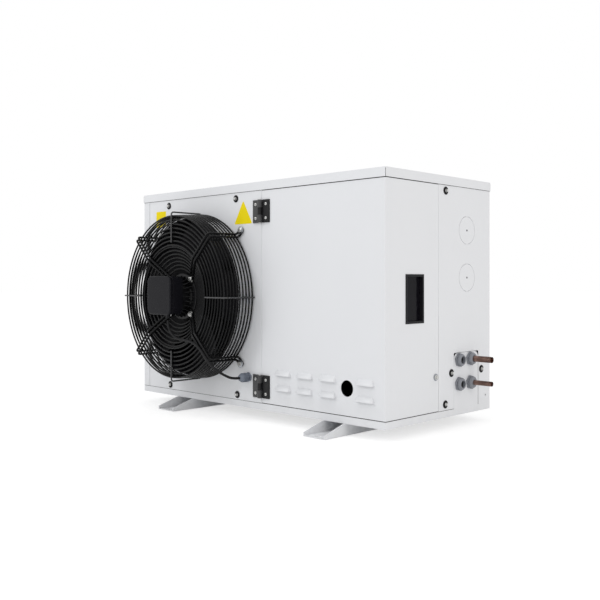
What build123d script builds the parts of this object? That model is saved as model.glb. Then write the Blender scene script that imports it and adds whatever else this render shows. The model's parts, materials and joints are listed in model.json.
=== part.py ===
from build123d import *
import math
import os

# Box-type refrigeration condensing unit for outdoor use. Millimetres, +X to the
# unit's right, +Y to the back, +Z up. The origin is on the floor, at the centre
# of the four anchor slots in the foot rails.

# ---------------------------------------------------------------- driving sizes
CAB_W, CAB_D, CAB_H = 990.0, 450.0, 620.0
FOOT_H = 30.0
RAIL_SHIFT = 27.0  # the rails' middle lies this far right of the cabinet's middle
SHEET = 1.5

LEFT, RIGHT = -CAB_W / 2 - RAIL_SHIFT, CAB_W / 2 - RAIL_SHIFT
FRONT, BACK = -CAB_D / 2, CAB_D / 2
BASE, TOP = FOOT_H, FOOT_H + CAB_H

# base tray and top cover
SKIRT_H = 18.0
SKIRT_LIP = 13.0
LID_SKIRT = 23.0
LID_GAP = 0.3
SHELF_Z = BASE + SKIRT_H  # the panels stand on the tray's lip
HEAD_Z = TOP - SHEET  # the fixed panels carry the cover
PAN_DEPTH = 13.0  # depth of the panels' folded edges

# foot rails
RAIL_SPACING = 608.0
RAIL_W = 72.0
RAIL_REACH = 73.0
RAIL_SHEET = 2.5
RAIL_TIP_H = 10.0
SLOT_L, SLOT_W = 28.0, 12.0
SLOT_FROM_TIP = 21.0
SLOT_SPACING = CAB_D + 2 * (RAIL_REACH - SLOT_FROM_TIP)

# front: corner strip, fan panel, door
STRIP_W = 29.0
SEAM_X = LEFT + 557.0  # between fan panel and door
SEAM_GAP = 1.0
DOOR_SIDE_D = 211.0  # how far the door wraps round the right-hand corner
DOOR_TOP = TOP - LID_SKIRT - 2.0
DOOR_FOOT = SHELF_Z + 2.0
CORNER_R = 3.0

# fan
FAN_X, FAN_Z = LEFT + 289.0, BASE + 305.0
THROAT_R = 178.0
THROAT_LIP = 9.0
THROAT_DEPTH = 28.0
GUARD_R = 238.0
GUARD_DEPTH = 102.0
WIRE = 2.8
ROD = 5.6
BITE = 0.4  # depth of the welds where wires cross
FLAT_R, FLAT_PITCH = 160.0, 13.0
CONE_RINGS, CONE_PITCH, CONE_SLOPE = 7, 10.3, 0.43
WALL_RINGS, WALL_PITCH = 8, 10.6
RING_SIDES = 24
EYE_R = 262.0
ARM_GAP = 12.0
MOTOR_LUG_R, MOTOR_FACE_Y = 58.0, -68.0
TERMINAL_HALF = 57.0
CABLE_R = 3.5
CABLE = (  # from the fan's axis and the panel's face: spout, along the arm, gland
    (8, -121, -66), (8, -121, -92), (42, -117, -119), (90, -112, -119), (132, -110.5, -133),
    (169, -110, -169), (190, -102, -191), (206, -80, -209), (214, -58, -220), (214, -33, -220),
)
CABLE_END = CABLE[-1]
BLADES = 5
BLADE_TIP = 171.0
BLADE_PITCH, BLADE_CAMBER = 24.0, 12.0
HUB_R = 56.0
CAN_R = 51.0
SHAFT_R = 6.0
SHAFT_CLEARANCE = 0.05

# door
LOUVRE_X = (LEFT + 615, LEFT + 695, LEFT + 777, LEFT + 900)
LOUVRE_Z = (BASE + 59.5, BASE + 99.5)
LOUVRE_W, LOUVRE_TOP_W, LOUVRE_H, LOUVRE_OUT = 55.0, 31.0, 14.5, 7.0
PORT_X, PORT_Z, PORT_R = LEFT + 868.0, BASE + 87.0, 20.3
WINDOW_Y = (FRONT + 76.0, FRONT + 149.0)
WINDOW_Z = (BASE + 246.0, BASE + 367.0)
BEZEL_LIP, BEZEL_OUT, PANE_DEPTH = 3.0, 2.0, 8.0
HINGE_Z = (BASE + 64.0, BASE + 539.0)
HINGE_H, LEAF_W, LEAF_T = 62.0, 33.0, 4.0
KNUCKLE_R, PIN_R, PIN_CLEARANCE = 6.5, 3.0, 0.05
PIN_X, PIN_Y = SEAM_X - SEAM_GAP / 2, FRONT - 7.0

# condenser
COIL_X = (LEFT + 42.0, -6.0)
COIL_Y = (162.0, 206.0)
COIL_Z = (BASE + 20.0, TOP - 12.0)
WALL_X = 8.0  # partition between the fan side and the machine side

# machine compartment
SUCTION_R, LIQUID_R, PIPE_WALL = 7.95, 6.35, 1.0
GLAND_Y = (FRONT + 302.0, FRONT + 354.0)
GLAND_Z = (BASE + 81.0, BASE + 144.0)
GLAND_BORE_R = 9.5
NOTCH_Y, NOTCH_TOP = (FRONT + 279.0, FRONT + 394.0), BASE + 163.0
STUB_START, STUB_REACH = 15.0, 68.0  # from the gland's nose to the pipe's end
FLOOR = BASE + SHEET
COMP_X, COMP_Y, COMP_R = 215.0, 30.0, 88.0
COMP_FOOT, COMP_H = FLOOR + 20.0, 290.0
FEET_X, FEET_Y = 150.0, 150.0
SUCTION_Z, DISCHARGE_Z = 262.0, 282.0
RECEIVER_X, RECEIVER_Y, RECEIVER_R, RECEIVER_H = 345.0, 155.0, 48.0, 270.0
LIQUID_Z = GLAND_Z[0]
CONDENSATE_Y, CONDENSATE_Z = 166.0, 130.0
SUCTION_VALVE = ((COMP_X + COMP_R + 12, COMP_Y, SUCTION_Z), (COMP_X + COMP_R + 62, COMP_Y, SUCTION_Z))
RECEIVER_FACE_Y = RECEIVER_Y - RECEIVER_R
LIQUID_VALVE = ((RECEIVER_X, RECEIVER_FACE_Y - 8, LIQUID_Z), (RECEIVER_X, RECEIVER_FACE_Y - 54, LIQUID_Z))
VALVE_R, SPINDLE_R = 12.0, 4.0
SUCTION_RISER_X, DISCHARGE_RISER_X, LIQUID_LOOP_Y = 400.0, 70.0, -95.0
DRIER_X, DRIER_Y = 420.0, (-45.0, 70.0)
HEADER, HEADER_R = (26.0, 184.0, (80.0, 600.0)), 9.0
EBOX = ((372.0, 446.0), (-160.0, -11.5), (240.0, 430.0))


# ---------------------------------------------------------------- helpers
def block(x, y, z):
    """Rectangular block between pairs of coordinates."""
    size = (x[1] - x[0], y[1] - y[0], z[1] - z[0])
    return Pos((x[0] + x[1]) / 2, (y[0] + y[1]) / 2, (z[0] + z[1]) / 2) * Box(*size)


def rod(start, end, radius):
    """Round bar between two points."""
    axis = Vector(end) - Vector(start)
    return extrude(Plane(origin=start, z_dir=axis) * Circle(radius), axis.length)


def prism(start, end, sketch):
    """A flat outline carried from one point straight to another."""
    axis = Vector(end) - Vector(start)
    return extrude(Plane(origin=start, z_dir=axis) * sketch, axis.length)


def bent_wire(points, radius, sides=6):
    """Wire or pipe along straight runs, mitred where they meet."""
    path = Polyline(*points)
    section = Plane(origin=path @ 0, z_dir=path % 0) * RegularPolygon(radius, sides)
    return sweep(section, path=path, transition=Transition.RIGHT)


def pipe(points, radius, bend):
    """Pipe whose square bends are each stepped through four short mitres."""
    route = [Vector(points[0])]
    for a, b, c in zip(points, points[1:], points[2:]):
        before, after = (Vector(b) - Vector(a)).normalized(), (Vector(c) - Vector(b)).normalized()
        centre = Vector(b) - before * bend + after * bend
        for degrees in (0, 30, 60, 90):
            angle = math.radians(degrees)
            route.append(centre + before * bend * math.sin(angle) - after * bend * math.cos(angle))
    return bent_wire([*route, Vector(points[-1])], radius, 8)


def faceted(profile, start, z_dir=(0, 0, 1), sides=24):
    """Round body in flat facets, through (radius, height) stations along an axis."""
    plane = Plane(origin=start, x_dir=(1, 0, 0) if z_dir[0] == 0 else (0, 1, 0), z_dir=z_dir)
    sections = [plane.offset(height) * RegularPolygon(radius, sides) for radius, height in profile]
    drums = [loft(pair, ruled=True) for pair in zip(sections, sections[1:])]
    return drums[0].fuse(*drums[1:])


def pan(x, y, z, open_axis, low_side):
    """Sheet-metal pan: a block hollowed from one side, all its edges folded."""
    solid = block(x, y, z)
    faces = solid.faces().sort_by(open_axis)
    mouth = faces[0] if low_side else faces[-1]
    return offset(solid, amount=-SHEET, openings=mouth)


def hex_screw(place, normal, washer_r=8.0, head_af=9.0, shank=9.0):
    """Hexagon screw with its washer, seated on a panel."""
    seat = Vector(place)
    out = Vector(normal)
    washer = prism(seat, seat + out * 1.6, RegularPolygon(washer_r, 12))
    head = prism(seat + out * 1.6, seat + out * 6.6, RegularPolygon(head_af / 2, 6, major_radius=False))
    return washer + head + prism(seat, seat - out * shank, RegularPolygon(3.0, 6))


def group(solids):
    """Several separate solids kept in one node."""
    return Compound(children=list(solids))


# ---------------------------------------------------------------- base and feet
def base_tray():
    tray = block((LEFT, RIGHT), (FRONT, BACK), (BASE, SHELF_Z))
    tray = offset(tray, amount=-SHEET, openings=tray.faces().sort_by(Axis.Z)[-1])
    lip = Rectangle(CAB_W, CAB_D) - Rectangle(CAB_W - 2 * SKIRT_LIP, CAB_D - 2 * SKIRT_LIP)
    tray += Pos(-RAIL_SHIFT, 0, SHELF_Z - SHEET) * extrude(lip, SHEET)
    for x in (LEFT + 120, FAN_X + 120):
        tray -= rod((x, BACK - 70, BASE - 1), (x, BACK - 70, BASE + SHEET + 1), 11)
    return tray


def foot_rail(x):
    """Channel under the cabinet, tapered at both ends, slotted for the anchors."""
    end = CAB_D / 2 + RAIL_REACH
    side = [
        (-end, 0), (end, 0), (end, RAIL_TIP_H), (CAB_D / 2 + 6, FOOT_H),
        (-CAB_D / 2 - 6, FOOT_H), (-end, RAIL_TIP_H),
    ]
    outline = make_face(Polyline(*[(0, y, z) for y, z in side], close=True))
    rail = Pos(x - RAIL_W / 2, 0, 0) * extrude(outline, RAIL_W, dir=(1, 0, 0))
    inner = (x - RAIL_W / 2 + RAIL_SHEET, x + RAIL_W / 2 - RAIL_SHEET)
    rail -= block(inner, (-end - 1, end + 1), (RAIL_SHEET, FOOT_H + 1))
    for sign in (-1, 1):
        flange = block((0, 14), (-CAB_D / 2 + 8, CAB_D / 2 - 8), (FOOT_H - RAIL_SHEET, FOOT_H))
        rail += Pos(inner[0] if sign > 0 else inner[1] - 14, 0, 0) * flange
        slot = Pos(x, sign * SLOT_SPACING / 2, -1) * SlotOverall(SLOT_L, SLOT_W)
        rail -= extrude(slot, RAIL_SHEET + 2)
    return rail


def rail_bolts():
    """Four low-head bolts that hold the tray down on the rails' flanges."""
    bolts = []
    for x in (-RAIL_SPACING / 2, RAIL_SPACING / 2):
        for y in (FRONT + 40, BACK - 40):
            seat = (x - RAIL_W / 2 + RAIL_SHEET + 7, y, BASE + SHEET)
            top = (seat[0], y, BASE + SHEET + 5)
            bolts.append(prism(seat, top, RegularPolygon(6.5, 6, major_radius=False)))
    return group(bolts)


# ---------------------------------------------------------------- fixed panels
def top_cover():
    over = SHEET + LID_GAP
    cover = block((LEFT - over, RIGHT + over), (FRONT - over, BACK + over), (TOP - LID_SKIRT, TOP))
    cover = fillet(cover.edges().filter_by(Axis.Z), 2.0)
    return offset(cover, amount=-SHEET, openings=cover.faces().sort_by(Axis.Z)[0])


def left_side_panel():
    """C-shaped side: a narrow front strip, the side sheet and a rear flange."""
    inner = LEFT + SHEET
    side = [
        (LEFT + STRIP_W - SEAM_GAP / 2, FRONT + 12), (LEFT + STRIP_W - SEAM_GAP / 2, FRONT),
        (LEFT, FRONT), (LEFT, BACK), (LEFT + 26, BACK), (LEFT + 26, BACK - 12),
    ]
    lining = [
        (LEFT + 26 - SHEET, BACK - 12), (LEFT + 26 - SHEET, BACK - SHEET), (inner, BACK - SHEET),
        (inner, FRONT + SHEET), (LEFT + STRIP_W - SEAM_GAP / 2 - SHEET, FRONT + SHEET),
        (LEFT + STRIP_W - SEAM_GAP / 2 - SHEET, FRONT + 12),
    ]
    panel = extrude(Pos(0, 0, SHELF_Z) * make_face(Polyline(*side, *lining, close=True)), HEAD_Z - SHELF_Z)
    foot = block((inner, LEFT + PAN_DEPTH), (FRONT + SHEET, BACK - SHEET), (SHELF_Z, SHELF_Z + SHEET))
    return panel + foot + Pos(0, 0, HEAD_Z - SHELF_Z - SHEET) * foot


def fan_panel():
    """Front sheet with the fan's inlet ring rolled inwards."""
    x = (LEFT + STRIP_W + SEAM_GAP / 2, SEAM_X - SEAM_GAP)
    panel = pan(x, (FRONT, FRONT + PAN_DEPTH), (SHELF_Z, HEAD_Z), Axis.Y, False)
    mouth = THROAT_R + THROAT_LIP
    panel -= rod((FAN_X, FRONT - 1, FAN_Z), (FAN_X, FRONT + SHEET + 1, FAN_Z), mouth)
    half_turn = THROAT_LIP * math.sin(math.pi / 4)  # the rolled lip, in two cones
    inner = [
        (mouth, 0), (mouth - half_turn, THROAT_LIP - half_turn),
        (THROAT_R, THROAT_LIP), (THROAT_R, THROAT_DEPTH),
    ]
    outer = [
        (THROAT_R + SHEET, THROAT_DEPTH), (THROAT_R + SHEET, THROAT_LIP),
        (mouth - half_turn + 1, THROAT_LIP - half_turn + 1), (mouth, SHEET),
    ]
    ring = make_face(Polyline(*inner, *outer, close=True))
    panel += Pos(FAN_X, FRONT, FAN_Z) * revolve(ring, Axis.Y)
    gland = (FAN_X + CABLE_END[0], FRONT - 1, FAN_Z + CABLE_END[2])
    return panel - faceted([(8.0, 0), (8.0, SHEET + 2)], gland, (0, 1, 0), 16)


def right_side_panel():
    """Rear part of the right side, notched from below round the pipe plate."""
    y = (FRONT + DOOR_SIDE_D + SEAM_GAP, BACK)
    panel = pan((RIGHT - PAN_DEPTH, RIGHT), y, (SHELF_Z, HEAD_Z), Axis.X, True)
    notch = block((RIGHT - PAN_DEPTH - 1, RIGHT + 1), NOTCH_Y, (SHELF_Z - 20, NOTCH_TOP))
    panel -= fillet(notch.edges().filter_by(Axis.X).group_by(Axis.Z)[-1], 4.0)
    for z in (BASE + 359, BASE + 484):
        slit = RegularPolygon(36.9, 32) - RegularPolygon(36.1, 32) - Rectangle(6, 80)
        face = Plane(origin=(RIGHT - SHEET - 1, FRONT + 339.5, z), x_dir=(0, 1, 0), z_dir=(1, 0, 0))
        panel -= extrude(face * slit, SHEET + 2)
    hole = (FRONT + 429, BASE + 39.5)
    return panel - rod((RIGHT - 3, *hole), (RIGHT + 1, *hole), 2.6)


def gland_plate():
    """Plate in the side panel's notch, folded over the tray's lip."""
    y = (NOTCH_Y[0] + 1, NOTCH_Y[1] - 2)
    plate = block((RIGHT - SHEET, RIGHT), y, (SHELF_Z, NOTCH_TOP - 1))
    plate = fillet(plate.edges().filter_by(Axis.X).group_by(Axis.Z)[-1], 16.0)
    plate += block((RIGHT - SKIRT_LIP, RIGHT - SHEET), y, (SHELF_Z, SHELF_Z + SHEET))
    for gy in GLAND_Y:
        for gz in GLAND_Z:
            plate -= faceted([(13.0, -3), (13.0, 1)], (RIGHT, gy, gz), (1, 0, 0), 16)
    return plate


def rear_panel():
    """Back of the machine compartment."""
    x = (WALL_X + 4, RIGHT - PAN_DEPTH - SEAM_GAP)
    return pan(x, (BACK - PAN_DEPTH, BACK), (SHELF_Z, HEAD_Z), Axis.Y, True)


def partition():
    """Bent sheet between the fan side and the machine side."""
    y = (FRONT + PAN_DEPTH + 1, COIL_Y[0] - 4)
    line = [
        (WALL_X - 30, y[0]), (WALL_X, y[0]), (WALL_X, y[1]), (WALL_X - 12, y[1]),
        (WALL_X - 12, y[1] - SHEET), (WALL_X - SHEET, y[1] - SHEET),
        (WALL_X - SHEET, y[0] + SHEET), (WALL_X - 30, y[0] + SHEET),
    ]
    wall = extrude(Pos(0, 0, FLOOR) * make_face(Polyline(*line, close=True)), HEAD_Z - FLOOR - 3)
    return wall - rod((WALL_X - 5, y[0] + 30, FLOOR + 40), (WALL_X + 5, y[0] + 30, FLOOR + 40), 11)


def head_rail():
    """Angle behind the door's head, from the fan panel round to the side panel."""
    y0, x1 = FRONT + PAN_DEPTH + 3, RIGHT - PAN_DEPTH - 3
    end = FRONT + DOOR_SIDE_D + SEAM_GAP + SHEET  # inner face of the side panel's flange
    z = (TOP - 60, HEAD_Z)
    front = block((SEAM_X - SEAM_GAP, x1), (y0, y0 + SHEET), z)
    side = block((x1 - SHEET, x1), (y0, end + SHEET), z)
    return front + side + block((x1 - SHEET, RIGHT - 4), (end, end + SHEET), (z[0], z[1] - 2 * SHEET))


# ---------------------------------------------------------------- door
def door():
    """Sheet that wraps the right-hand front corner, with louvres and a port."""
    inner_x, inner_y = RIGHT - PAN_DEPTH, FRONT + PAN_DEPTH
    outline = [
        (SEAM_X, FRONT), (RIGHT, FRONT), (RIGHT, FRONT + DOOR_SIDE_D),
        (inner_x, FRONT + DOOR_SIDE_D), (inner_x, inner_y), (SEAM_X, inner_y),
    ]
    solid = extrude(Pos(0, 0, DOOR_FOOT) * make_face(Polyline(*outline, close=True)), DOOR_TOP - DOOR_FOOT)
    corner = solid.edges().filter_by(Axis.Z).sort_by_distance((RIGHT, FRONT, BASE))[0]
    solid = fillet(corner, CORNER_R)
    inside = [f for f in solid.faces() if abs(f.center().X - inner_x) < 0.1]
    inside += [f for f in solid.faces() if abs(f.center().Y - inner_y) < 0.1]
    panel = offset(solid, amount=-SHEET, openings=inside)
    for x in LOUVRE_X:
        for z in LOUVRE_Z:
            hood, hollow = louvre(x + LOUVRE_W / 2, z)
            panel = panel + hood - hollow
    panel -= rod((PORT_X, FRONT - 1, PORT_Z), (PORT_X, FRONT + 3, PORT_Z), PORT_R)
    y, z = WINDOW_Y, WINDOW_Z
    lip = BEZEL_LIP
    return panel - block((RIGHT - 3, RIGHT + 1), (y[0] + lip, y[1] - lip), (z[0] + lip, z[1] - lip))


def louvre(x, z):
    """Pressed hood open at its lower edge, and the hollow behind it."""
    low = Plane(origin=(x, FRONT - LOUVRE_OUT / 2, z)) * Rectangle(LOUVRE_W, LOUVRE_OUT)
    high = Plane(origin=(x, FRONT - 0.3, z + LOUVRE_H)) * Rectangle(LOUVRE_TOP_W, 0.6)
    reach = LOUVRE_OUT - 1.2
    under = Plane(origin=(x, FRONT + 1.5 - reach / 2, z - 0.5)) * Rectangle(LOUVRE_W - 2.6, reach + 3)
    over = Plane(origin=(x, FRONT + 1.7, z + LOUVRE_H - 1.6)) * Rectangle(LOUVRE_TOP_W - 1, 2.8)
    return loft([low, high], ruled=True), loft([under, over], ruled=True)


def window_bezel():
    """Frame that clips into the door's cut-out."""
    y, z = WINDOW_Y, WINDOW_Z
    lip = BEZEL_LIP
    rim = block((RIGHT, RIGHT + BEZEL_OUT), y, z)
    rim = chamfer(rim.faces().sort_by(Axis.X)[-1].edges(), 1.0)
    sleeve = block((RIGHT - 12, RIGHT), (y[0] + lip, y[1] - lip), (z[0] + lip, z[1] - lip))
    inside = lip + 3.0
    way = block((RIGHT - 13, RIGHT + 3), (y[0] + inside, y[1] - inside), (z[0] + inside, z[1] - inside))
    return rim + sleeve - way


def window_pane():
    inside = BEZEL_LIP + 3.0
    y, z = WINDOW_Y, WINDOW_Z
    x = RIGHT - PANE_DEPTH
    return block((x - 3, x), (y[0] + inside, y[1] - inside), (z[0] + inside, z[1] - inside))


def hinge_leaves(side):
    """The two hinges' leaves on one side of the pin, with their own knuckles."""
    leaves = []
    third = HINGE_H / 3
    for middle in HINGE_Z:
        low = middle - HINGE_H / 2
        far = PIN_X + side * LEAF_W
        leaf = block(sorted((PIN_X + side, far)), (FRONT - LEAF_T, FRONT), (low, low + HINGE_H))
        edge = leaf.edges().filter_by(Axis.Z).group_by(Axis.Y)[0].sort_by_distance((far, FRONT, middle))[0]
        leaf = chamfer(edge, 1.2)
        own = (0, 2) if side < 0 else (1,)
        for i in range(3):
            span = (low + third * i, low + third * (i + 1))
            if i in own:
                ends = [(KNUCKLE_R, span[0] + 0.15), (KNUCKLE_R, span[1] - 0.15)]
                leaf += faceted(ends, (PIN_X, PIN_Y, 0), sides=16)
            else:
                reach = KNUCKLE_R + 0.6
                leaf -= block((PIN_X - reach, PIN_X + reach), (FRONT - 9, FRONT + 1), (span[0], span[1]))
        leaf -= rod((PIN_X, PIN_Y, low - 1), (PIN_X, PIN_Y, low + HINGE_H + 1), PIN_R + PIN_CLEARANCE)
        leaves.append(leaf)
    return group(leaves)


def hinge_pins():
    reach = HINGE_H / 2 + 1.5
    return group(rod((PIN_X, PIN_Y, z - reach), (PIN_X, PIN_Y, z + reach), PIN_R) for z in HINGE_Z)


def hinge_screws(side):
    """Four pan-head screws of one side's leaves."""
    heads = []
    for z in HINGE_Z:
        for dz in (-19, 19):
            seat = Vector(PIN_X + side * 20.5, FRONT - LEAF_T, z + dz)
            heads.append(prism(seat, seat - Vector(0, 2.2, 0), RegularPolygon(4.2, 12)))
    return group(heads)


# ---------------------------------------------------------------- fasteners
PANEL_SCREWS = (
    ((LEFT + 132, FRONT, BASE + 579), (0, -1, 0)),
    ((LEFT + 449, FRONT, BASE + 580), (0, -1, 0)),
    ((LEFT + 140, FRONT, BASE + 32), (0, -1, 0)),
    ((LEFT + 455, FRONT, BASE + 32), (0, -1, 0)),
    ((RIGHT, FRONT + 243, BASE + 582), (1, 0, 0)),
    ((RIGHT, FRONT + 241, BASE + 34), (1, 0, 0)),
    ((RIGHT, FRONT + 268, BASE + 112), (1, 0, 0)),
    ((RIGHT, FRONT + 408, BASE + 112), (1, 0, 0)),
)
DOOR_SCREW = ((RIGHT, FRONT + 199, BASE + 107), (1, 0, 0))


def panel_screws():
    """Self-tapping screws with sealing washers that hold the fixed panels."""
    return group(hex_screw(place, normal) for place, normal in PANEL_SCREWS)


def door_screw():
    """Captive screw that latches the door, its shank ending in the door's sheet."""
    place, normal = DOOR_SCREW
    return hex_screw(place, normal, washer_r=7.0, shank=SHEET)


# ---------------------------------------------------------------- fan and guard
def on_fan(u, y, w):
    """Point given from the fan's axis and the front panel's face."""
    return FAN_X + u, FRONT + y, FAN_Z + w


def fan_guard():
    """Welded wire basket: face rings, dished centre, wall rings, spokes, arms."""
    face_y = -(GUARD_DEPTH - WIRE / 2)
    rings = [(FLAT_R + FLAT_PITCH * i, face_y) for i in range(-1, 7)]
    for i in range(CONE_RINGS):
        inset = CONE_PITCH * (i + 0.5)
        rings.append((FLAT_R - FLAT_PITCH - inset, face_y + CONE_SLOPE * inset + 3.5))
    rings += [(GUARD_R, face_y + WALL_PITCH * (i + 1)) for i in range(WALL_RINGS)]
    wires = []
    for radius, y in rings:
        face = Plane(origin=on_fan(0, y + WIRE / 2, 0), z_dir=(0, -1, 0))
        outline = RegularPolygon(radius + WIRE / 2, RING_SIDES)
        outline -= RegularPolygon(radius - WIRE / 2, RING_SIDES)
        wires.append(extrude(face * outline, WIRE))
    centre = Pos(*on_fan(0, 0, 0))
    wires += [centre * Rot(0, 90 * i, 0) * spoke(face_y) for i in range(4)]
    wires += [centre * Rot(0, 45 + 90 * i, 0) * arm(face_y) for i in range(4)]
    return wires[0].fuse(*wires[1:])


def spoke(face_y):
    """Short single wire from the dish's rim, over the edge and back to the panel."""
    y = face_y + WIRE + 1.9 - BITE
    wall = GUARD_R + WIRE / 2 + 2.0 - BITE
    start = FLAT_R - FLAT_PITCH - 4
    return bent_wire([(start, y, 0), (wall - 4, y, 0), (wall, y + 4, 0), (wall, -1.9, 0)], 2.2)


def arm(face_y):
    """Bent hairpin rod that carries the motor and is screwed to the panel."""
    half, eye = ARM_GAP / 2, EYE_R + 6
    y = face_y + WIRE / 2 + ROD / 2 - BITE
    wall, seat = GUARD_R + WIRE / 2 + ROD / 2 - BITE, -ROD / 2 - 0.1
    motor_y = MOTOR_FACE_Y - ROD / 2 - 0.1
    knee = FLAT_R - FLAT_PITCH - 10
    side = [
        (MOTOR_LUG_R - 8, motor_y), (knee + (y - motor_y) / CONE_SLOPE, motor_y), (knee, y),
        (wall - 6, y), (wall, y + 6), (wall, seat - 5), (wall + 4, seat), (eye - half, seat),
    ]
    turn = [(eye - half + half * math.sin(a), seat, half * math.cos(a)) for a in
            (math.radians(d) for d in (36, 72, 108, 144))]
    out = [(r, d, half) for r, d in side]
    back = [(r, d, -half) for r, d in reversed(side)]
    return bent_wire([*out, *turn, *back], ROD / 2)


def guard_screws():
    """Screws with large plated washers in the arms' eyes."""
    screws = []
    for i in range(4):
        angle = math.radians(45 + 90 * i)
        seat = on_fan(EYE_R * math.cos(angle), -ROD - 0.3, EYE_R * math.sin(angle))
        screws.append(hex_screw(seat, (0, -1, 0), 11.0, 10.0, ROD + 6))
    return group(screws)


def motor_stator():
    """Fixed half of the external-rotor motor: neck, lugged flange and core."""
    neck = faceted([(46, 57), (46, 100), (44, 103)], on_fan(0, 0, 0), (0, -1, 0))
    flange_r = MOTOR_LUG_R + 8
    neck += faceted([(flange_r, 57), (flange_r, -MOTOR_FACE_Y)], on_fan(0, 0, 0), (0, -1, 0))
    core = prism(on_fan(0, -58, 0), on_fan(0, 4, 0), RegularPolygon(40, 16))
    return neck + core - rod(on_fan(0, -52, 0), on_fan(0, 5, 0), SHAFT_R + SHAFT_CLEARANCE)


def motor_screws():
    """Screws and cup washers that clamp the arms to the motor's flange."""
    heads = []
    for i in range(4):
        angle = math.radians(45 + 90 * i)
        u, w = MOTOR_LUG_R * math.cos(angle), MOTOR_LUG_R * math.sin(angle)
        seat = on_fan(u, MOTOR_FACE_Y - ROD - 0.2, w)
        heads.append(hex_screw(seat, (0, -1, 0), 9.5, 10.0, ROD + 0.2))
    return group(heads)


def terminal_box():
    """Moulded box on the motor's front, corners cut off, with a cable spout."""
    half = TERMINAL_HALF
    body = prism(on_fan(0, -103, 0), on_fan(0, -138, 0), Rectangle(2 * half, 2 * half))
    body = chamfer(body.edges().filter_by(Axis.Y), 14.0)
    spout = rod(on_fan(CABLE[0][0], CABLE[0][1], 1 - half), on_fan(*CABLE[0]), 8.0)
    return body + spout


def terminal_lid():
    half = TERMINAL_HALF + 1.0
    lid = prism(on_fan(0, -138, 0), on_fan(0, -148, 0), Rectangle(2 * half, 2 * half))
    lid = chamfer(lid.edges().filter_by(Axis.Y), 14.0)
    return chamfer(lid.faces().sort_by(Axis.Y)[0].edges(), 2.5)


def rotor_can():
    """Turning shell of the motor with its shaft."""
    shell = faceted([(44, -20), (CAN_R, -14), (CAN_R, 52)], on_fan(0, 0, 0), (0, -1, 0))
    shell -= faceted([(CAN_R - 4, -10), (CAN_R - 4, 53)], on_fan(0, 0, 0), (0, -1, 0))
    return shell + rod(on_fan(0, -48, 0), on_fan(0, 12, 0), SHAFT_R)


def impeller():
    """Hub ring with cambered sickle blades."""
    wheel = faceted([(HUB_R, -12), (HUB_R, 26)], on_fan(0, 0, 0), (0, -1, 0))
    place = Pos(*on_fan(0, -10, 0))
    for i in range(BLADES):
        wheel += place * Rot(0, 360 / BLADES * i + 20, 0) * blade()
    return wheel - faceted([(CAN_R, -50), (CAN_R, 50)], on_fan(0, 0, 0), (0, -1, 0))


def blade():
    """Pressed blade: a pitched, cambered sheet cut to a sickle outline."""
    half, thick = 75.0, 2.6
    back = ThreePointArc((-half, 0), (0, BLADE_CAMBER), (half, 0))
    face = ThreePointArc((-half, thick), (0, BLADE_CAMBER + thick), (half, thick))
    section = make_face([back, Line((-half, 0), (-half, thick)), face, Line((half, thick), (half, 0))])
    sheet = extrude(Rot(0, 0, BLADE_PITCH) * section, BLADE_TIP)
    leading = ThreePointArc((-34, HUB_R - 8), (-56, 118), (-30, BLADE_TIP - 1))
    tip = RadiusArc(leading @ 1, (96, 141), BLADE_TIP)
    trailing = ThreePointArc(tip @ 1, (58, 96), (34, HUB_R - 8))
    outline = make_face([leading, tip, trailing, Line(trailing @ 1, leading @ 0)])
    cutter = extrude(Plane(origin=(0, 60, 0), x_dir=(1, 0, 0), z_dir=(0, -1, 0)) * outline, 120)
    return sheet & cutter


def fan_cable():
    """Motor lead, whole, from the terminal box's spout to the panel gland."""
    points = [on_fan(*p) for p in CABLE]
    path = FilletPolyline(*points, radius=arc_radii(points))
    return sweep(Plane(origin=path @ 0, z_dir=path % 0) * RegularPolygon(CABLE_R, 6), path=path)


def arc_radii(points):
    """Largest arcs that the two runs at each corner allow."""
    radii = []
    for a, b, c in zip(points, points[1:], points[2:]):
        before, after = Vector(b) - Vector(a), Vector(c) - Vector(b)
        turn = math.radians(before.get_angle(after))
        radii.append(0.45 * min(before.length, after.length) / math.tan(turn / 2))
    return radii


def fan_gland():
    """Long moulded gland on the fan panel that takes the motor lead."""
    x, reach, z = CABLE_END
    base = prism(on_fan(x, 0, z), on_fan(x, -7, z), RegularPolygon(12.5, 6, major_radius=False))
    body = faceted([(10.5, 7), (10.5, 24), (7, -reach)], on_fan(x, 0, z), (0, -1, 0), 16)
    return base + body + faceted([(7.9, -12), (7.9, 0)], on_fan(x, 0, z), (0, -1, 0), 16)


def pipe_gland(y, z, bore_r):
    """Hexagon base, dome nut and threaded shank through the pipe plate."""
    x = RIGHT
    base = prism((x, y, z), (x + 6, y, z), RegularPolygon(17, 6, major_radius=False))
    dome = faceted([(16, 5.9), (16, 11), (12.5, 14.5)], (x, y, z), (1, 0, 0), 16)
    nut = prism((x - SHEET - 4, y, z), (x - SHEET, y, z), RegularPolygon(16, 6, major_radius=False))
    shank = faceted([(12.9, -10), (12.9, 1)], (x, y, z), (1, 0, 0), 16)
    return base + dome + nut + shank - rod((x - 11, y, z), (x + 15, y, z), bore_r)


def pipe_glands():
    """Two open cable glands at the front, two round the copper stubs behind."""
    front, rear = GLAND_Y
    low, high = GLAND_Z
    return group([
        pipe_gland(front, low, GLAND_BORE_R), pipe_gland(front, high, GLAND_BORE_R),
        pipe_gland(rear, low, LIQUID_R + 0.3), pipe_gland(rear, high, SUCTION_R + 0.3),
    ])


# ---------------------------------------------------------------- condenser
def coil_block():
    return block(COIL_X, COIL_Y, COIL_Z)


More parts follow.
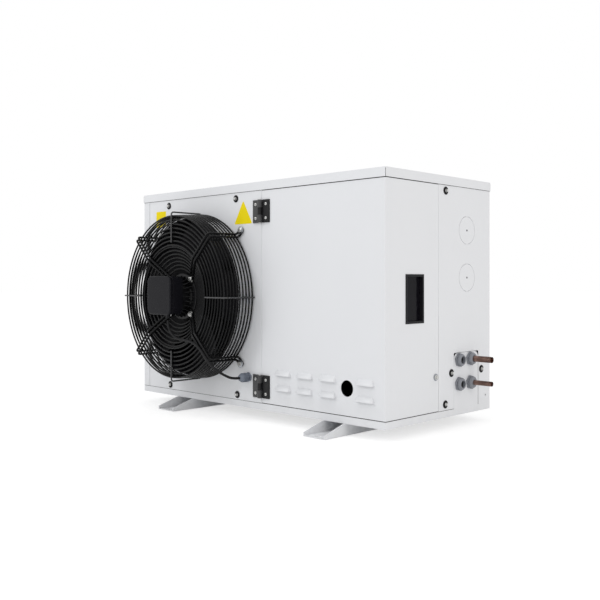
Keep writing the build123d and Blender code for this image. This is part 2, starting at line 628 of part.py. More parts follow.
def coil_end_plates():
    """Tube sheets at the two ends of the coil, standing on the tray."""
    y, z = (COIL_Y[0] - 3, COIL_Y[1] + 3), (FLOOR, COIL_Z[1] + 3)
    return group(block((x, x + SHEET), y, z) for x in (COIL_X[0] - SHEET, COIL_X[1]))


def return_bends():
    """Hairpin ends of the coil's tubes, at the left."""
    bends = []
    x, y, pitch = COIL_X[0] - SHEET, (COIL_Y[0] + COIL_Y[1]) / 2, 50.0
    for i in range(11):
        z = COIL_Z[0] + 32 + pitch * i
        half = 12.5
        side = 11 if i % 2 else -11
        bends.append(bent_wire([(x, y + side, z - half), (x - 16, y + side, z - half),
                                (x - 24, y + side, z - 4), (x - 24, y + side, z + 4),
                                (x - 16, y + side, z + half), (x, y + side, z + half)], 5))
    return group(bends)


def coil_header():
    """Upright header with its branches into the coil's right-hand end."""
    x, y, z = HEADER
    face = COIL_X[1] + SHEET
    header = prism((x, y, z[0]), (x, y, z[1]), RegularPolygon(HEADER_R, 12))
    for i in range(5):
        level = z[0] + 30 + (z[1] - z[0] - 60) * i / 4
        header += prism((face, y, level), (x, y, level), RegularPolygon(5, 8))
    return header


def coil_guard():
    """Open wire grid over the coil at the back."""
    x, z = (LEFT + 26, WALL_X + 4), (SHELF_Z, HEAD_Z)
    columns, rows, bar = 6, 7, 4.0
    width, height = x[1] - x[0], z[1] - z[0]
    cell = ((width - bar) / columns, (height - bar) / rows)
    grid = Rectangle(width, height)
    grid -= GridLocations(cell[0], cell[1], columns, rows) * Rectangle(cell[0] - bar, cell[1] - bar)
    middle = ((x[0] + x[1]) / 2, BACK - 3, (z[0] + z[1]) / 2)
    return extrude(Plane(origin=middle, x_dir=(1, 0, 0), z_dir=(0, -1, 0)) * grid, 3)


# ---------------------------------------------------------------- machine side
def compressor():
    """Hermetic shell, domed at both ends, with its two pipe sockets."""
    stations = [(60, 0), (80, 12), (COMP_R, 34), (COMP_R, 238), (78, 262), (50, 280), (20, COMP_H)]
    shell = faceted(stations, (COMP_X, COMP_Y, COMP_FOOT), sides=28)
    suction, discharge = (COMP_X, COMP_Y, SUCTION_Z), (COMP_X, COMP_Y, DISCHARGE_Z)
    shell += prism(suction, SUCTION_VALVE[0], RegularPolygon(13, 8))
    return shell + prism(discharge, (COMP_X - COMP_R - 8, COMP_Y, DISCHARGE_Z), RegularPolygon(10, 8))


def compressor_feet():
    """Mounting plate under the shell, ears over the four grommets."""
    plate = Rectangle(FEET_X + 36, 60) + Rectangle(60, FEET_Y + 36)
    plate += Rectangle(FEET_X + 30, FEET_Y + 30)
    return Pos(COMP_X, COMP_Y, COMP_FOOT - 4) * extrude(plate, 4)


def compressor_mounts():
    """Rubber grommets between the plate and the tray."""
    grommet = RegularPolygon(15, 12)
    return group(prism((x, y, FLOOR), (x, y, COMP_FOOT - 4), grommet) for x, y in foot_points())


def compressor_bolts():
    level = COMP_FOOT
    return group(prism((x, y, level), (x, y, level + 7), RegularPolygon(8, 6)) for x, y in foot_points())


def foot_points():
    return [(COMP_X + i * FEET_X / 2, COMP_Y + j * FEET_Y / 2) for i in (-1, 1) for j in (-1, 1)]


def compressor_terminals():
    """Moulded cover over the compressor's terminals."""
    cover = block((COMP_X - 26, COMP_X + 26), (COMP_Y - COMP_R - 34, COMP_Y - COMP_R + 14), (150, 225))
    cover = chamfer(cover.faces().sort_by(Axis.Y)[0].edges(), 6)
    shell = prism((COMP_X, COMP_Y, 140), (COMP_X, COMP_Y, 240), RegularPolygon(COMP_R + 0.3, 28))
    return cover - shell


def receiver():
    """Liquid receiver with a foot ring, an inlet socket and an outlet socket."""
    x, y, h = RECEIVER_X, RECEIVER_Y, RECEIVER_H
    stations = [(30, 14), (42, 21), (RECEIVER_R, 36), (RECEIVER_R, h - 22), (40, h - 8), (16, h)]
    tank = faceted(stations, (x, y, FLOOR))
    tank += prism((x, y, LIQUID_Z), LIQUID_VALVE[0], RegularPolygon(11, 8))
    inlet = (x, CONDENSATE_Y, CONDENSATE_Z)
    return tank + prism(inlet, (x - RECEIVER_R - 8, CONDENSATE_Y, CONDENSATE_Z), RegularPolygon(10, 8))


def receiver_foot():
    """Flanged ring that the receiver's lower end is welded into."""
    start = (RECEIVER_X, RECEIVER_Y, FLOOR)
    foot = faceted([(46, 0), (46, SHEET)], start) + faceted([(32, 0), (32, 14.0)], start)
    return foot - faceted([(29.5, -1), (29.5, 15)], start)


def ball_valve(start, end, radius):
    """Forged body of a shut-off valve between two points, spindle boss on top."""
    a, b = Vector(start), Vector(end)
    run = (b - a).normalized()
    middle = (a + b) * 0.5
    body = prism(a, b, RegularPolygon(radius, 8))
    body += prism(middle - run * 11, middle + run * 11, RegularPolygon(radius + 5, 6))
    boss = prism(middle, middle + Vector(0, 0, radius + 14), RegularPolygon(8.0, 12))
    mouth = middle + Vector(0, 0, radius)
    bore = rod(mouth, mouth + Vector(0, 0, 15), SPINDLE_R + SHAFT_CLEARANCE)
    return body + boss - bore


def spindle(start, end, radius):
    """Quarter-turn spindle with the flat for a key, standing in the valve's boss."""
    a, b = Vector(start), Vector(end)
    middle = (a + b) * 0.5
    low = middle + Vector(0, 0, radius + 0.5)
    stem = rod(low, low + Vector(0, 0, 19.5), SPINDLE_R)
    key = Pos(middle.X, middle.Y, low.Z + 19.5 + 5) * Box(4, 9, 10)
    if abs(b.X - a.X) > abs(b.Y - a.Y):
        key = Pos(middle.X, middle.Y, low.Z + 19.5 + 5) * Box(9, 4, 10)
    return stem + key


def copper_stub(z, radius):
    """Straight, bored end of a pipe where it leaves the cabinet."""
    y, end = GLAND_Y[1], RIGHT + STUB_REACH
    stub = rod((RIGHT + STUB_START, y, z), (end, y, z), radius)
    return stub - rod((end - 45, y, z), (end + 1, y, z), radius - PIPE_WALL)


def suction_pipe():
    y, z = GLAND_Y[1], GLAND_Z[1]
    x = SUCTION_RISER_X
    route = [(RIGHT + STUB_START, y, z), (x, y, z), (x, COMP_Y, z), (x, COMP_Y, SUCTION_Z), SUCTION_VALVE[1]]
    return pipe(route, SUCTION_R, 28) + copper_stub(z, SUCTION_R)


def liquid_outlet():
    """From the drier to the outside, with the sight glass's body on the way."""
    y, z = GLAND_Y[1], GLAND_Z[0]
    route = [(RIGHT + STUB_START, y, z), (DRIER_X, y, z), (DRIER_X, DRIER_Y[1], z)]
    glass = prism((DRIER_X, 84, z), (DRIER_X, 104, z), RegularPolygon(11, 6))
    cap = prism((DRIER_X, 94, z), (DRIER_X, 94, z + 15), RegularPolygon(9, 12))
    return pipe(route, LIQUID_R, 16) + copper_stub(z, LIQUID_R) + glass + cap


def filter_drier():
    low, high = DRIER_Y
    length = high - low
    stations = [(9, 0), (9, 8), (26, 22), (26, length - 22), (9, length - 8), (9, length)]
    return faceted(stations, (DRIER_X, low, LIQUID_Z), (0, 1, 0), 16)


def liquid_inlet():
    z = LIQUID_Z
    turn_y = LIQUID_LOOP_Y
    route = [(DRIER_X, DRIER_Y[0], z), (DRIER_X, turn_y, z), (RECEIVER_X, turn_y, z), LIQUID_VALVE[1]]
    return pipe(route, LIQUID_R, 22)


def discharge_pipe():
    x, y = COMP_X - COMP_R - 8, COMP_Y
    z = HEADER[2][1] - 25
    riser = DISCHARGE_RISER_X
    route = [
        (x, y, DISCHARGE_Z), (riser, y, DISCHARGE_Z), (riser, y, z), (riser, HEADER[1], z),
        (HEADER[0] + HEADER_R, HEADER[1], z),
    ]
    return pipe(route, LIQUID_R, 24)


def condensate_pipe():
    start = (COIL_X[1] + SHEET, CONDENSATE_Y, CONDENSATE_Z)
    end = (RECEIVER_X - RECEIVER_R - 8, CONDENSATE_Y, CONDENSATE_Z)
    return prism(start, end, RegularPolygon(LIQUID_R, 8))


def electrical_box():
    x, y, z = EBOX
    return pan(x, y, z, Axis.X, False)


def electrical_cover():
    x, y, z = EBOX
    return block((x[1], x[1] + SHEET), (y[0] - 2, y[1]), (z[0] - 2, z[1] + 2))


def controller():
    """Panel controller on the cover, behind the door's window."""
    x = EBOX[0][1] + SHEET
    y, z = WINDOW_Y, WINDOW_Z
    case = block((x, x + 6), (y[0] + 2, y[1] - 2), (z[0] + 2, z[1] - 2))
    return chamfer(case.faces().sort_by(Axis.X)[-1].edges(), 1.5)


def control_bracket():
    """Plate from the side panel's flange that carries the electrical box."""
    y = FRONT + DOOR_SIDE_D + SEAM_GAP + SHEET
    return block((EBOX[0][0] - 12, RIGHT - SHEET), (y, y + SHEET), (EBOX[2][0] - 15, EBOX[2][1] + 15))


def pressure_switch():
    """Pressure switch on the partition, bellows underneath."""
    case = block((WALL_X, WALL_X + 42), (-120, -62), (400, 470))
    case = chamfer(case.faces().sort_by(Axis.X)[-1].edges(), 4)
    return case + prism((WALL_X + 21, -91, 400), (WALL_X + 21, -91, 382), RegularPolygon(12, 12))


if __name__ == "__main__":
    os.makedirs("parts", exist_ok=True)
    nodes = {
        "base_tray": base_tray(),
        "foot_rail_left": foot_rail(-RAIL_SPACING / 2),
        "foot_rail_right": foot_rail(RAIL_SPACING / 2),
        "rail_bolts": rail_bolts(),
        "top_cover": top_cover(),
        "left_side_panel": left_side_panel(),
        "fan_panel": fan_panel(),
        "right_side_panel": right_side_panel(),
        "gland_plate": gland_plate(),
        "pipe_glands": pipe_glands(),
        "rear_panel": rear_panel(),
        "partition": partition(),
        "head_rail": head_rail(),
        "door": door(),
        "window_bezel": window_bezel(),
        "window_pane": window_pane(),
        "door_screw": door_screw(),
        "panel_screws": panel_screws(),
        "cabinet_hinge_leaves": hinge_leaves(-1),
        "door_hinge_leaves": hinge_leaves(1),
        "hinge_pins": hinge_pins(),
        "cabinet_hinge_screws": hinge_screws(-1),
        "door_hinge_screws": hinge_screws(1),
        "fan_guard": fan_guard(),
        "guard_screws": guard_screws(),
        "motor_stator": motor_stator(),
        "motor_screws": motor_screws(),
        "terminal_box": terminal_box(),
        "terminal_box_lid": terminal_lid(),
        "rotor_can": rotor_can(),
        "fan_impeller": impeller(),
        "fan_cable": fan_cable(),
        "fan_gland": fan_gland(),
        "coil_block": coil_block(),
        "coil_end_plates": coil_end_plates(),
        "return_bends": return_bends(),
        "coil_header": coil_header(),
        "coil_guard": coil_guard(),
        "compressor": compressor(),
        "compressor_feet": compressor_feet(),
        "compressor_mounts": compressor_mounts(),
        "compressor_bolts": compressor_bolts(),
        "compressor_terminals": compressor_terminals(),
        "receiver": receiver(),
        "receiver_foot": receiver_foot(),
        "suction_valve": ball_valve(*SUCTION_VALVE, VALVE_R),
        "suction_spindle": spindle(*SUCTION_VALVE, VALVE_R),
        "liquid_valve": ball_valve(*LIQUID_VALVE, VALVE_R),
        "liquid_spindle": spindle(*LIQUID_VALVE, VALVE_R),
        "suction_pipe": suction_pipe(),
        "liquid_outlet": liquid_outlet(),
        "filter_drier": filter_drier(),
        "liquid_inlet": liquid_inlet(),
        "discharge_pipe": discharge_pipe(),
        "condensate_pipe": condensate_pipe(),
        "control_bracket": control_bracket(),
        "electrical_box": electrical_box(),
        "electrical_cover": electrical_cover(),
        "controller": controller(),
        "pressure_switch": pressure_switch(),
    }
    for name, shape in nodes.items():
        export_step(shape, f"parts/{name}.step")
        print(name, shape.is_valid, round(shape.volume))
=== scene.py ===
"""Dresses the box-type condensing unit: finishes, wire guard, fan drive, pipe work, light and camera."""
import json
import logging
import math
from dataclasses import dataclass
from enum import Enum
from typing import Any, Iterable, Sequence

import bmesh
import bpy
from mathutils import Matrix, Vector


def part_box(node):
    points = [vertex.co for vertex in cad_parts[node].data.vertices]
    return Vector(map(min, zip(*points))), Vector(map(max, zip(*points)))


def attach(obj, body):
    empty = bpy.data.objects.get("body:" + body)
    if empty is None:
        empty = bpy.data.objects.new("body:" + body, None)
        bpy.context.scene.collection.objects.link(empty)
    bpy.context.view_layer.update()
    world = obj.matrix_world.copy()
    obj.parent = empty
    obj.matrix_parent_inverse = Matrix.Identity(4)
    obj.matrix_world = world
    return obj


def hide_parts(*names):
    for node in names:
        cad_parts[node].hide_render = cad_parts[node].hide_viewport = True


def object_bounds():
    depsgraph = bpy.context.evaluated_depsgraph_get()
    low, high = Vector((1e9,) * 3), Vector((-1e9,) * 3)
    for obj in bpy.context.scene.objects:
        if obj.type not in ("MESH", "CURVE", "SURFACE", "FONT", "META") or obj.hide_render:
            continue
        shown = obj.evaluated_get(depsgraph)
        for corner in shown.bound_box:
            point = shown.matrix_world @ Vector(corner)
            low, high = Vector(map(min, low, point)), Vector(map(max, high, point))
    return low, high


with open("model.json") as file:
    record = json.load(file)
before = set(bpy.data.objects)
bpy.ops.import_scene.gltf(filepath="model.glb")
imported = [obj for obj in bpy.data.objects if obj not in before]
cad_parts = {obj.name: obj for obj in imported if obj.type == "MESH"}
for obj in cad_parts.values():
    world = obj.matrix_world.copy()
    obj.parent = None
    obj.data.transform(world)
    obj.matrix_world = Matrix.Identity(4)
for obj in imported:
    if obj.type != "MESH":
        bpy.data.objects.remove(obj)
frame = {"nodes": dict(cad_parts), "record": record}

LOG = logging.getLogger("condensing_unit")
CAD_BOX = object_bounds()
MM = 0.001
X, Y, Z = Vector((1, 0, 0)), Vector((0, 1, 0)), Vector((0, 0, 1))
CORNERS = ((-1, -1), (1, -1), (1, 1), (-1, 1))
Colour = tuple[float, float, float, float]
Triple = tuple[float, float, float]
Pair = tuple[float, float]


class Body(str, Enum):
    """The rigid bodies that a piece can ride on."""

    CABINET = "cabinet"
    DOOR = "door"
    ROTOR = "fan_rotor"


# ------------------------------------------------------------------ shader maths
class Signal:
    """One output socket, so that shader maths reads as Python."""

    def __init__(self, graph: "Graph", socket: bpy.types.NodeSocket | None) -> None:
        """Keeps the socket and the graph that owns it."""
        self.graph = graph
        self.socket = socket

    def _math(self, operation: str, first: Any, second: Any = 0.0) -> "Signal":
        """Adds one Math node.

        Args:
            operation: the node's operation.
            first: its first value or link.
            second: its second value or link.

        Returns:
            The node's result.
        """
        return self.graph.node("ShaderNodeMath", {"operation": operation}, {0: first, 1: second})

    def __add__(self, other: Any) -> "Signal":
        """Sum."""
        return self._math("ADD", self, other)

    def __rsub__(self, other: Any) -> "Signal":
        """Reflected difference."""
        return self._math("SUBTRACT", other, self)

    def __mul__(self, other: Any) -> "Signal":
        """Product."""
        return self._math("MULTIPLY", self, other)

    def __pow__(self, other: Any) -> "Signal":
        """Power."""
        return self._math("POWER", self, other)

    def above(self, limit: float) -> "Signal":
        """One where the value is greater than the limit."""
        return self._math("GREATER_THAN", self, limit)

    def larger(self, other: "Signal") -> "Signal":
        """The larger of two values."""
        return self._math("MAXIMUM", self, other)

    __radd__ = __add__


class Graph:
    """The node tree of one material, or of the world."""

    def __init__(self, owner: bpy.types.Material | bpy.types.World) -> None:
        """Empties the tree.

        Args:
            owner: the new material or world that it belongs to.
        """
        owner.use_nodes = True
        self.owner = owner
        self.tree = owner.node_tree
        self.tree.nodes.clear()

    @classmethod
    def named(cls, name: str) -> "Graph":
        """The tree of a new material."""
        return cls(bpy.data.materials.new(name))

    def node(self, kind: str, settings: dict[str, Any] | None = None, inputs: dict[Any, Any] | None = None,
             output: Any = 0) -> Signal:
        """Adds a node.

        Args:
            kind: the node's type.
            settings: its own settings, set first.
            inputs: values or signals by socket name or number.
            output: which output to return.

        Returns:
            The chosen output, or an empty signal for a node that has none.
        """
        made = self.tree.nodes.new(kind)
        for key, value in (settings or {}).items():
            setattr(made, key, value)
        for key, value in (inputs or {}).items():
            socket = made.inputs[key]
            if isinstance(value, Signal):
                self.tree.links.new(value.socket, socket)
            else:
                socket.default_value = value
        return Signal(self, made.outputs[output] if made.outputs else None)

    def noise(self, scale: float, detail: float = 3.0, stretch: Triple = (1, 1, 1)) -> Signal:
        """Noise in the object's own coordinates.

        Args:
            scale: cells per metre.
            detail: octaves.
            stretch: scale along each axis.

        Returns:
            A value round 0.5.
        """
        place = self.node("ShaderNodeTexCoord", output="Object")
        place = self.node("ShaderNodeMapping", None, {"Vector": place, "Scale": stretch})
        return self.node("ShaderNodeTexNoise", None, {"Vector": place, "Scale": scale, "Detail": detail})

    def axis(self, name: str) -> Signal:
        """One coordinate in the object's own frame, in metres."""
        place = self.node("ShaderNodeTexCoord", output="Object")
        return self.node("ShaderNodeSeparateXYZ", None, {0: place}, name)

    def blend(self, factor: Any, first: Any, second: Any) -> Signal:
        """Mixes two colours.

        Args:
            factor: value or signal.
            first: colour at 0.
            second: colour at 1.

        Returns:
            The mixed colour.
        """
        return self.node("ShaderNodeMix", {"data_type": "RGBA"}, {0: factor, 6: first, 7: second}, 2)

    def edge_wear(self, radius: float) -> Signal:
        """Value near 1 on convex edges, from the bevelled normal.

        Args:
            radius: reach of the edge in metres.

        Returns:
            The edge mask.
        """
        soft = self.node("ShaderNodeBevel", {"samples": 4}, {"Radius": radius})
        hard = self.node("ShaderNodeNewGeometry", output="Normal")
        dot = self.node("ShaderNodeVectorMath", {"operation": "DOT_PRODUCT"}, {0: soft, 1: hard}, "Value")
        return 1.0 - dot

    def bump(self, height: Signal, distance: float, strength: float = 1.0) -> Signal:
        """Bump from a height in 0 to 1.

        Args:
            height: the height.
            distance: depth in metres at full height.
            strength: how much of it shows.

        Returns:
            The bent normal.
        """
        sizes = {"Height": height, "Distance": distance, "Strength": strength}
        return self.node("ShaderNodeBump", None, sizes)

    def finish(self, **sockets: Any) -> bpy.types.Material:
        """Adds the surface shader.

        Args:
            sockets: Principled inputs, with underscores for spaces.

        Returns:
            The finished material.
        """
        inputs = {key.replace("_", " "): value for key, value in sockets.items()}
        surface = self.node("ShaderNodeBsdfPrincipled", None, inputs)
        self.node("ShaderNodeOutputMaterial", None, {"Surface": surface})
        return self.owner

    def seen(self) -> Signal:
        """One where the camera, a reflection or a clear pane looks.

        Returns:
            The mask.
        """
        mask = self.node("ShaderNodeLightPath", output="Is Camera Ray")
        for ray in ("Is Glossy Ray", "Is Transmission Ray"):
            mask = mask.larger(self.node("ShaderNodeLightPath", output=ray))
        return mask


def rgb(red: float, green: float, blue: float) -> Colour:
    """An opaque linear colour."""
    return red, green, blue, 1.0


# ------------------------------------------------------------------ finishes
@dataclass(frozen=True)
class PowderCoat:
    """Baked polyester powder on sheet steel, with near-black painted shade on the fan chamber's inner faces.
    """

    name: str = "white_powder_coat"
    slot: str = "white_paint"
    colour: Colour = rgb(0.745, 0.755, 0.775)
    cloud: Colour = rgb(0.70, 0.71, 0.735)
    darker_tone: Colour = rgb(0.50, 0.49, 0.47)
    # Near-black painted shade for the fan chamber's inner faces.
    chamber_painted_shade: Colour = rgb(0.012, 0.012, 0.013)
    chamber: tuple[Pair, ...] = ((-0.5206, 0.02), (-0.2236, 0.2236), (0.0312, 0.6486))
    darkening_reach: float = 0.09

    def build(self) -> bpy.types.Material:
        """Builds the finish.

        Returns:
            The material.
        """
        graph = Graph.named(self.name)
        cloud = graph.noise(5.0, 4.0)
        smear = graph.noise(38.0, 5.0, (1, 1, 0.25))
        near_floor = graph.node("ShaderNodeMapRange", None, {
            "Value": graph.axis("Z"), "From Min": 0.0, "From Max": self.darkening_reach,
            "To Min": 0.55, "To Max": 0.0})
        # Darker in vertical streaks within a short reach of the floor, and on worn convex edges.
        darkening = (smear ** 3.0) * near_floor + graph.edge_wear(0.0015) * 0.25
        tint = graph.blend(cloud * 0.5, self.colour, self.cloud)
        # Painted shade: inside the fan chamber's box the paint turns near black and rougher, for the shade
        # behind the fan.
        inside = None
        for name, (least, most) in zip("XYZ", self.chamber):
            place = graph.axis(name)
            within = place.above(least) * (1.0 - place.above(most))
            inside = within if inside is None else inside * within
        peel = graph.noise(420.0, 2.0)
        return graph.finish(
            Base_Color=graph.blend(inside, graph.blend(darkening, tint, self.darker_tone), self.chamber_painted_shade),
            Roughness=0.34 + smear * 0.16 + inside * 0.3, Specular_IOR_Level=0.4,
            Normal=graph.bump(peel, 0.00012, 0.35))


@dataclass(frozen=True)
class BlackEnamel:
    """Stoved or plastic-dipped black on wire and iron."""

    name: str
    slot: str
    roughness: float = 0.22
    colour: Colour = rgb(0.007, 0.007, 0.008)
    grain: float = 260.0
    sheen: float = 0.2

    def build(self) -> bpy.types.Material:
        """Builds the finish.

        Returns:
            The material.
        """
        graph = Graph.named(self.name)
        cloud = graph.noise(22.0, 4.0)
        dust = graph.noise(90.0, 6.0)
        colour = graph.blend(dust * 0.3, self.colour, rgb(0.014, 0.014, 0.015))
        return graph.finish(
            Base_Color=graph.blend(graph.edge_wear(0.0008) * 0.3, colour, rgb(0.05, 0.05, 0.05)),
            Roughness=self.roughness + cloud * 0.14, Specular_IOR_Level=self.sheen,
            Normal=graph.bump(graph.noise(self.grain, 2.0), 0.0001, 0.3))


@dataclass(frozen=True)
class MouldedPlastic:
    """Injection-moulded plastic with a fine spark-eroded grain."""

    name: str
    slot: str
    colour: Colour
    worn: Colour
    roughness: float = 0.42
    sheen: float = 0.14

    def build(self) -> bpy.types.Material:
        """Builds the finish.

        Returns:
            The material.
        """
        graph = Graph.named(self.name)
        cloud = graph.noise(30.0, 3.0)
        grain = graph.noise(1600.0, 2.0)
        edge = graph.edge_wear(0.0008)
        return graph.finish(
            Base_Color=graph.blend(cloud * 0.25 + edge * 0.5, self.colour, self.worn),
            Roughness=self.roughness + cloud * 0.12, Specular_IOR_Level=self.sheen,
            Normal=graph.bump(grain, 0.00008, 0.5))


@dataclass(frozen=True)
class Rubber:
    """Extruded or moulded rubber."""

    name: str = "black_rubber"
    slot: str = "black_rubber"

    def build(self) -> bpy.types.Material:
        """Builds the finish.

        Returns:
            The material.
        """
        graph = Graph.named(self.name)
        cloud = graph.noise(60.0, 4.0)
        return graph.finish(Base_Color=graph.blend(cloud, rgb(0.008, 0.008, 0.009), rgb(0.018, 0.018, 0.019)),
                            Roughness=0.45 + cloud * 0.2, Specular_IOR_Level=0.14,
                            Normal=graph.bump(graph.noise(900.0), 0.00008, 0.5))


@dataclass(frozen=True)
class BareMetal:
    """Uncoated or plated metal with a tarnished tone and fine scratches."""

    name: str
    slot: str
    bright: Colour
    dull: Colour
    roughness: float = 0.28
    spots: float = 34.0

    def build(self) -> bpy.types.Material:
        """Builds the finish.

        Returns:
            The material.
        """
        graph = Graph.named(self.name)
        tarnish = graph.noise(self.spots, 5.0)
        scratch = graph.noise(520.0, 3.0)
        return graph.finish(
            Base_Color=graph.blend(tarnish ** 1.6, self.bright, self.dull), Metallic=1.0,
            Roughness=self.roughness + tarnish * 0.22, Normal=graph.bump(scratch, 0.00006, 0.4))


@dataclass(frozen=True)
class Galvanised:
    """Hot-dip zinc on sheet, with its spangle."""

    name: str = "galvanised_sheet"
    slot: str = "galvanised"

    def build(self) -> bpy.types.Material:
        """Builds the finish.

        Returns:
            The material.
        """
        graph = Graph.named(self.name)
        place = graph.node("ShaderNodeTexCoord", output="Object")
        cell = graph.node("ShaderNodeTexVoronoi", None, {"Vector": place, "Scale": 85.0}, "Color")
        tone = graph.node("ShaderNodeSeparateColor", None, {0: cell})
        return graph.finish(Base_Color=graph.blend(tone, rgb(0.46, 0.48, 0.50), rgb(0.64, 0.66, 0.67)),
                            Metallic=0.85, Roughness=0.34 + tone * 0.16)


@dataclass(frozen=True)
class FinPack:
    """Edges of thin fins packed side by side, dark as black epoxy and as painted shade of the coil's depth,
    with painted shade in the gaps between fins.
    """

    name: str = "fins_painted_shade"
    slot: str = "aluminium_fins"
    pitch: float = 0.0021

    def build(self) -> bpy.types.Material:
        """Builds the finish.

        Returns:
            The material.
        """
        graph = Graph.named(self.name)
        turns = graph.axis("X") * (math.tau / self.pitch)
        phase = graph.node("ShaderNodeMath", {"operation": "SINE"}, {0: turns})
        # Painted shade: dark stripes for the gaps between fins.
        gap = (phase * 0.5 + 0.5) ** 2.0
        # The dark tone stands for black epoxy and for painted shade deep in the coil.
        tone = graph.blend(graph.noise(18.0, 5.0), rgb(0.06, 0.062, 0.066), rgb(0.12, 0.122, 0.128))
        return graph.finish(Base_Color=graph.blend(gap, tone, rgb(0.004, 0.004, 0.005)), Roughness=0.45,
                            Specular_IOR_Level=0.3, Normal=graph.bump(1.0 - gap, 0.0006, 0.6))


@dataclass(frozen=True)
class SmokedPane:
    """Tinted clear sheet over the controller."""

    name: str = "smoked_pane"
    slot: str = "dark_glass"
    tint: Colour = rgb(0.006, 0.0055, 0.008)

    def build(self) -> bpy.types.Material:
        """Builds the finish.

        Returns:
            The material.
        """
        graph = Graph.named(self.name)
        smear = graph.noise(45.0, 4.0)
        return graph.finish(Base_Color=self.tint, Roughness=0.10 + smear * 0.10, Alpha=0.95,
                            Specular_IOR_Level=0.1)


@dataclass(frozen=True)
class Sticker:
    """Vinyl in one flat colour, a little faded; the dark one is flat painted shade."""

    name: str
    slot: str
    colour: Colour
    shade: Colour

    def build(self) -> bpy.types.Material:
        """Builds the finish.

        Returns:
            The material.
        """
        graph = Graph.named(self.name)
        fade = graph.noise(26.0, 3.0)
        return graph.finish(Base_Color=graph.blend(fade * 0.35, self.colour, self.shade),
                            Roughness=0.35 + fade * 0.1, Specular_IOR_Level=0.1)


class Finish(Enum):
    """Every finish on the unit."""

    PAINT = PowderCoat()
    WIRE = BlackEnamel("black_wire_coating", "black_wire", 0.2, rgb(0.002, 0.002, 0.0025), 260.0, 0.16)
    # Painted highlight: the spokes are a lighter copy of the black wire coating, for the light along their
    # tops.
    SPOKE_HIGHLIGHT = BlackEnamel("spoke_painted_highlight", "black_wire", 0.2, rgb(0.03, 0.03, 0.032), 200.0, 0.6)
    # Painted light: the cabinet's hinge leaves are a lighter copy of the black iron paint, for how light
    # falls on them.
    LEAF_PAINTED_LIGHT = BlackEnamel("hinge_leaf_painted_light", "black_metal", 0.3, rgb(0.06, 0.06, 0.062), 180.0, 0.3)
    IRON = BlackEnamel("black_iron_paint", "black_metal", 0.3, rgb(0.009, 0.009, 0.010), 180.0)
    BLACK_PLASTIC = MouldedPlastic(
        "black_plastic", "black_plastic", rgb(0.009, 0.009, 0.011), rgb(0.03, 0.03, 0.033))
    GREY_PLASTIC = MouldedPlastic(
        "grey_plastic", "grey_plastic", rgb(0.20, 0.21, 0.235), rgb(0.30, 0.31, 0.34), 0.36, 0.4)
    BLUE_GREY = MouldedPlastic(
        "blue_grey_plastic", "grey_plastic", rgb(0.135, 0.155, 0.195), rgb(0.24, 0.27, 0.33), 0.36, 0.4)
    BOX_PLASTIC = MouldedPlastic(
        "glossy_box_plastic", "black_plastic", rgb(0.006, 0.006, 0.008), rgb(0.02, 0.02, 0.024), 0.2, 0.1)
    BLADES = MouldedPlastic(
        "black_blades", "black_plastic", rgb(0.005, 0.005, 0.006), rgb(0.012, 0.012, 0.013), 0.5, 0.08)
    RUBBER = Rubber()
    ZINC = BareMetal("zinc_plate", "plated_screws", rgb(0.66, 0.66, 0.65), rgb(0.42, 0.42, 0.40), 0.26)
    DULL_ZINC = BareMetal(
        "dull_zinc_plate", "plated_screws", rgb(0.40, 0.42, 0.45), rgb(0.12, 0.13, 0.14), 0.22, 90.0)
    COPPER = BareMetal("copper_tube", "copper", rgb(0.40, 0.25, 0.20), rgb(0.15, 0.10, 0.09), 0.3, 24.0)
    BRASS = BareMetal("forged_brass", "brass", rgb(0.68, 0.50, 0.22), rgb(0.36, 0.26, 0.12), 0.3)
    GALVANISED = Galvanised()
    FINS = FinPack()
    PANE = SmokedPane()
    YELLOW = Sticker("yellow_vinyl", "white_paint", rgb(0.84, 0.68, 0.004), rgb(0.76, 0.58, 0.004))
    TEAL = Sticker("teal_strip", "black_plastic", rgb(0.06, 0.32, 0.34), rgb(0.04, 0.22, 0.25))
    # Flat near-black painted shade for seams, slits, recesses and holes.
    DARK = Sticker("shadow_seam", "black_plastic", rgb(0.02, 0.02, 0.022), rgb(0.03, 0.03, 0.03))


class Paintbox:
    """Builds each finish once."""

    made: dict[str, bpy.types.Material] = {}

    @classmethod
    def get(cls, finish: Finish) -> bpy.types.Material:
        """The material of a finish.

        Args:
            finish: the finish.

        Returns:
            Its material, built the first time.
        """
        if finish.name not in cls.made:
            cls.made[finish.name] = finish.value.build()
        return cls.made[finish.name]


# ------------------------------------------------------------------ mesh making
SHARP = 35.0


def stand(name: str, data: bpy.types.ID) -> bpy.types.Object:
    """Puts an object in the scene.

    Args:
        name: its name.
        data: its mesh, curve, lamp or camera.

    Returns:
        The object.
    """
    thing = bpy.data.objects.new(name, data)
    bpy.context.scene.collection.objects.link(thing)
    return thing


